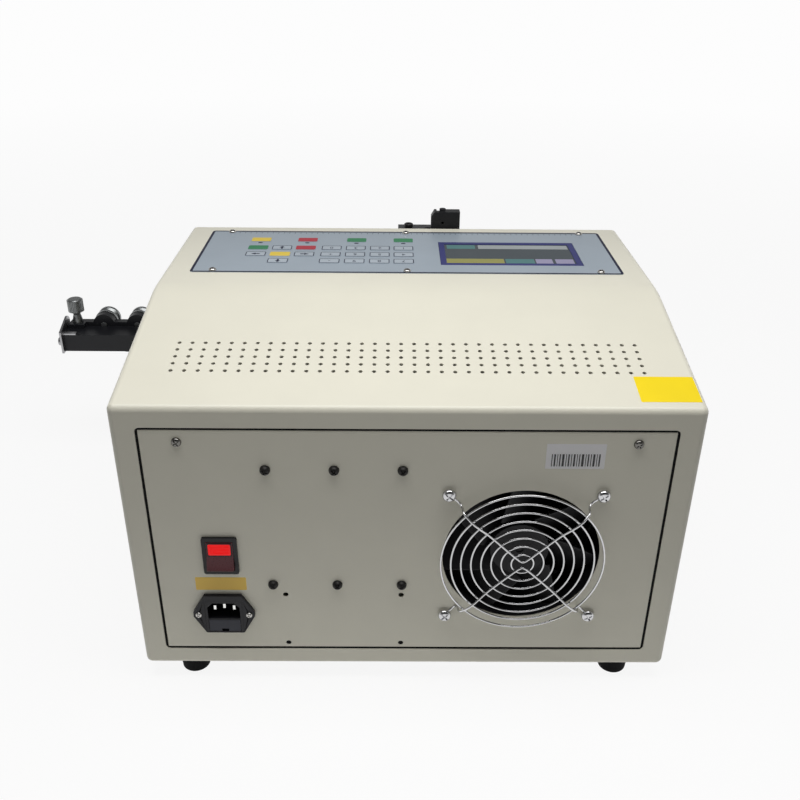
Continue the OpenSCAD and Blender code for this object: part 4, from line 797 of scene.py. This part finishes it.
navy_ink = surface(
    "navy_ink", film_navy, drift=0.08, roughness=0.35, grain=900, relief=0.05, Specular_IOR_Level=0.08
)
dress(film_finish, "control_overlay", edge=0.12 * mm)
border_size = (film_high.x - film_low.x, film_high.y - film_low.y)
border = plate("film_border", *border_size, ink_thick, border_corner, outline=border_width)
settle(border, (film_x, film_y, film_z))
fit(border, navy_ink, "machine", "control_film")

line = plate("ruler_line", *ruler_size, ink_thick, line_corner)
settle(line, (film_x, ruler_y - ruler_drop, film_z))
tick = plate("ruler_tick", *tick_size, ink_thick, line_corner)
ticks = tick.modifiers.new("ticks", "ARRAY")
ticks.count = tick_count
ticks.use_relative_offset = False
ticks.use_constant_offset = True
ticks.constant_offset_displace = (tick_pitch, 0, 0)
activate(tick)
bpy.ops.object.modifier_apply(modifier=ticks.name)
settle(tick, (film_x + tick_start, ruler_y, film_z))
film_ruler = unite("film_ruler", [line, tick])
ruler_ink = surface("ruler_ink", ruler_grey, drift=0.08, roughness=0.4, grain=900, relief=0.05)
fit(film_ruler, ruler_ink, "machine", "control_film")

yellow_keys = [(0, 0), (1, 2)]
red_keys = [(2, 0), (2, 1)]
green_keys = [(4, 0), (6, 0), (0, 1)]
lamp_keys = [(0, 0), (2, 0), (4, 0), (6, 0)]
arrow_keys = {(1, 1): -math.pi / 2, (0, 2): 0, (2, 2): math.pi, (1, 3): math.pi / 2}
digit_keys = {
    (6, 3): "7", (5, 3): "8", (4, 3): "9", (3, 3): "-",
    (6, 2): "4", (5, 2): "5", (4, 2): "6", (3, 2): "+",
    (6, 1): "1", (5, 1): "2", (4, 1): "3", (3, 1): "0",
}
outlined_keys = list(arrow_keys) + list(digit_keys)


def key_place(cell, rise=0):
    """The middle of a key's domed top, or that height over it."""
    return Vector((film_x + key_columns[cell[0]], film_y + key_rows[cell[1]], film_high.z + rise))


def lamp_place(cell):
    """The middle of the small lamp window behind a key."""
    return (film_x + key_columns[cell[0]], film_y + key_rows[cell[1]] + lamp_rise, film_z)


def key_prints(name, cells, colour):
    """The coloured tops of the keys in these cells."""
    top = plate(f"{name}_top", *key_size, ink_thick, key_corner)
    prints = unite(name, set_copies(top, [key_place(cell) for cell in cells]))
    ink = surface(
        f"{name}_ink", colour, drift=0.06, roughness=0.38, grain=900, relief=0.08, Specular_IOR_Level=0.12
    )
    fit(prints, ink, "machine", "control_film")


def arrow(turn):
    """A solid arrow print that points along +X before it is turned."""
    bpy.ops.object.select_all(action="DESELECT")
    bpy.ops.mesh.primitive_circle_add(
        vertices=3, radius=arrow_radius, fill_type="NGON", rotation=(0, 0, -math.pi / 2)
    )
    head = bpy.context.object
    head.location = (arrow_reach, 0, 0)
    bpy.ops.object.transform_apply()
    bpy.ops.object.mode_set(mode="EDIT")
    thicken(ink_thick)
    shaft = plate("arrow_shaft", *shaft_size, ink_thick, line_corner)
    settle(shaft, (-shaft_reach, 0, 0))
    united = unite("arrow_print", [head, shaft])
    united.rotation_euler = (0, 0, turn)
    bpy.ops.object.transform_apply()
    return united


def digit_print(digit):
    """One numeral or sign as a thin print round the origin."""
    bpy.ops.object.select_all(action="DESELECT")
    bpy.ops.object.text_add()
    mark = bpy.context.object
    mark.data.body = digit
    mark.data.size = digit_height
    mark.data.align_x = "CENTER"
    mark.data.align_y = "CENTER"
    mark.data.extrude = ink_thick / 2
    mark.data.resolution_u = 3
    bpy.ops.object.convert(target="MESH")
    return bpy.context.object


key_prints("yellow_keys", yellow_keys, (0.74, 0.55, 0.075))
key_prints("red_keys", red_keys, (0.42, 0.035, 0.055))
key_prints("green_keys", green_keys, (0.035, 0.21, 0.09))
key_prints("pale_keys", outlined_keys, (0.40, 0.45, 0.50))
rim = plate("key_rim", *key_size, ink_thick, key_corner, outline=key_rim)
ink_marks = set_copies(rim, [key_place(cell, ink_thick) for cell in outlined_keys])
for cell, turn in arrow_keys.items():
    mark = arrow(turn)
    settle(mark, key_place(cell, ink_thick))
    ink_marks.append(mark)
for cell, digit in digit_keys.items():
    mark = digit_print(digit)
    settle(mark, key_place(cell, ink_thick * 1.5))
    ink_marks.append(mark)
lamp = plate("key_lamp", *lamp_size, ink_thick, lamp_corner)
ink_marks += set_copies(lamp, [lamp_place(cell) for cell in lamp_keys])
key_marks = unite("key_marks", ink_marks)
fit(key_marks, navy_ink, "machine", "control_film")


# The display sits in a window of the film: an indigo plastic frame round a dark glass, which is let in under
# the film and shows plain blocks. A block is its left and right end, its middle and its depth, in mm.
display_x = film_x - 87.2 * mm
display_y = film_y + 4.6 * mm
glass_size = (107.9 * mm, 49.9 * mm)
glass_z = film_z - 0.8 * mm
glass_thick = 0.3 * mm
glass_corner = 0.3 * mm
block_corner = 0.4 * mm
blocks = {
    "screen_olive": ((0.30, 0.29, 0.09), [(5.7, 53.9, 18.2, 11)]),
    "screen_teal": ((0.08, 0.20, 0.20), [(-19.7, 4.4, 18.2, 11), (27.4, 52, -18.5, 10)]),
    "screen_lavender": ((0.32, 0.30, 0.44), [(-34.9, -20.9, 18.2, 11), (-52.7, -37.4, 18.2, 11)]),
    "screen_pale": ((0.34, 0.37, 0.38), [(-53, 24.7, -18.5, 10)]),
}
bezel_indigo = (0.045, 0.05, 0.17)
glass_grey = (0.06, 0.075, 0.085)
bezel_plastic = surface(
    "display_bezel", bezel_indigo, drift=0.06, roughness=0.4, grain=900, relief=0.1, Specular_IOR_Level=0.06
)
glass = surface(
    "display_glass", glass_grey, drift=0.05, roughness=0.2, grain=300, relief=0.01, Specular_IOR_Level=0.06
)
dress(bezel_plastic, "display_module", edge=0.25 * mm)
screen = plate("display_screen", *glass_size, glass_thick, glass_corner)
settle(screen, (display_x, display_y, glass_z))
fit(screen, glass, "machine", "display_bezel")
for name, (colour, spans) in blocks.items():
    shown = []
    for left, right, middle, depth in spans:
        block = plate(f"{name}_block", (right - left) * mm, depth * mm, ink_thick, block_corner)
        block_x = display_x + (left + right) / 2 * mm
        settle(block, (block_x, display_y + middle * mm, glass_z + glass_thick))
        shown.append(block)
    picture = unite(name, shown)
    finish = surface(
        f"{name}_light", colour, drift=0.05, roughness=0.2, grain=300, relief=0.01, Specular_IOR_Level=0.06
    )
    fit(picture, finish, "machine", "display_bezel")


# Inside the casing: the keypad's board under the film, the drivers' black heat sinks on the panel and the
# bare aluminium power supply on the floor.
circuit_green = (0.03, 0.16, 0.06)
sink_black = (0.03, 0.03, 0.032)
bare_aluminium = (0.66, 0.67, 0.68)
board_green = surface("board_green", circuit_green, drift=0.1, roughness=0.5, grain=400, relief=0.1)
heat_sink = surface(
    "heat_sink_black", sink_black, drift=0.08, roughness=0.5, grain=700, relief=0.15, Metallic=0.5
)
supply_case = surface(
    "supply_aluminium", bare_aluminium, drift=0.05, roughness=0.38, grain=600, relief=0.1,
    stretch=(1, 0.04, 1), Metallic=1.0,
)
dress(board_green, "keypad_board", edge=0.15 * mm)
dress(heat_sink, "motor_drivers", edge=0.25 * mm)
dress(supply_case, "power_supply", edge=0.3 * mm)


# The mechanism stands on a black anodised plate on the front: guides, bridges, blocks, tower and bar are
# milled from aluminium and held by black socket screws.
anodised_black = (0.011, 0.0115, 0.014)
anodised = surface(
    "black_anodised", anodised_black, drift=0.08, roughness=0.4, grain=800, relief=0.2,
    stretch=(0.1, 1, 1), Specular_IOR_Level=0.3,
)
dress(anodised, "mech_plate", "pressure_bridges", "straightener_bar", edge=0.4 * mm)
dress(anodised, "tower_base", "tower_top_plate", edge=0.4 * mm)
dress(anodised, "upper_cutter_slide", "lower_cutter_slide", edge=0.4 * mm)
dress(anodised, "wire_guides", "roller_block_right", "roller_block_left", edge=0.3 * mm)
dress(black_oxide, "socket_screws", edge=0.25 * mm)


# The feed gear is turned and ground from steel: fluted rollers on geared shafts, axles, posts, lead screw,
# blades and clamps. Each shows fine turning lines along its round. The straightener's steel is darker.
steel_grey = (0.44, 0.445, 0.45)
oiled_grey = (0.26, 0.27, 0.27)
turned = (1, 0.2, 1)
ground_steel = surface(
    "ground_steel", steel_grey, drift=0.12, roughness=0.3, grain=1200, relief=0.15,
    stretch=turned, Metallic=1.0,
)
dark_steel = surface(
    "dark_steel", oiled_grey, drift=0.1, roughness=0.36, grain=1200, relief=0.2,
    stretch=turned, Metallic=1.0,
)
for side in ("right", "left"):
    for level in ("lower", "upper"):
        dress(ground_steel, f"feed_roller_{side}_{level}", f"gear_shaft_{side}_{level}", edge=0.15 * mm)
dress(ground_steel, "tower_posts", "lead_screw", "motor_standoffs", edge=0.2 * mm)
for level in ("upper", "lower"):
    dress(ground_steel, f"{level}_blade", f"{level}_blade_clamp", edge=0.2 * mm)
    for number in (1, 2):
        dress(dark_steel, f"{level}_straightener_roller_{number}", edge=0.25 * mm)
dress(dark_steel, "straightener_thumb_screw", "straightener_axles", edge=0.2 * mm)


# Brass pinions sit on the rotor shafts of the black stepper motors, which stand on posts behind the plate.
# Knobs moulded in black plastic turn on the pressure screws over the rollers.
brass = (0.66, 0.48, 0.20)
enamel_black = (0.025, 0.025, 0.026)
moulded_black = (0.024, 0.024, 0.025)
pinion_brass = surface(
    "pinion_brass", brass, drift=0.06, roughness=0.3, grain=900, relief=0.1, Metallic=1.0
)
motor_black = surface("motor_black", enamel_black, drift=0.08, roughness=0.45, grain=800, relief=0.15)
knob_black = surface("knob_black", moulded_black, drift=0.08, roughness=0.5, grain=1000, relief=0.25)
dress(pinion_brass, "motor_pinion_right", "motor_pinion_left", edge=0.12 * mm)
dress(motor_black, "stepper_motors", edge=0.4 * mm)
dress(knob_black, "pressure_knob_right", "pressure_knob_left", edge=0.2 * mm)


# The home sensor is a block moulded in black plastic and screwed to the tower's top plate.
# The straightener's bar ends in a guide plate of galvanised sheet.
block_black = (0.011, 0.0115, 0.013)
zinc_grey = (0.42, 0.42, 0.43)
sensor_black = surface(
    "sensor_black", block_black, drift=0.08, roughness=0.5, grain=1000, relief=0.25, Specular_IOR_Level=0.3
)
galvanised = surface(
    "galvanised_plate", zinc_grey, drift=0.12, roughness=0.32, grain=500, relief=0.1, Metallic=1.0
)
dress(sensor_black, "home_sensor", edge=0.4 * mm)
dress(galvanised, "guide_plate", edge=0.2 * mm)
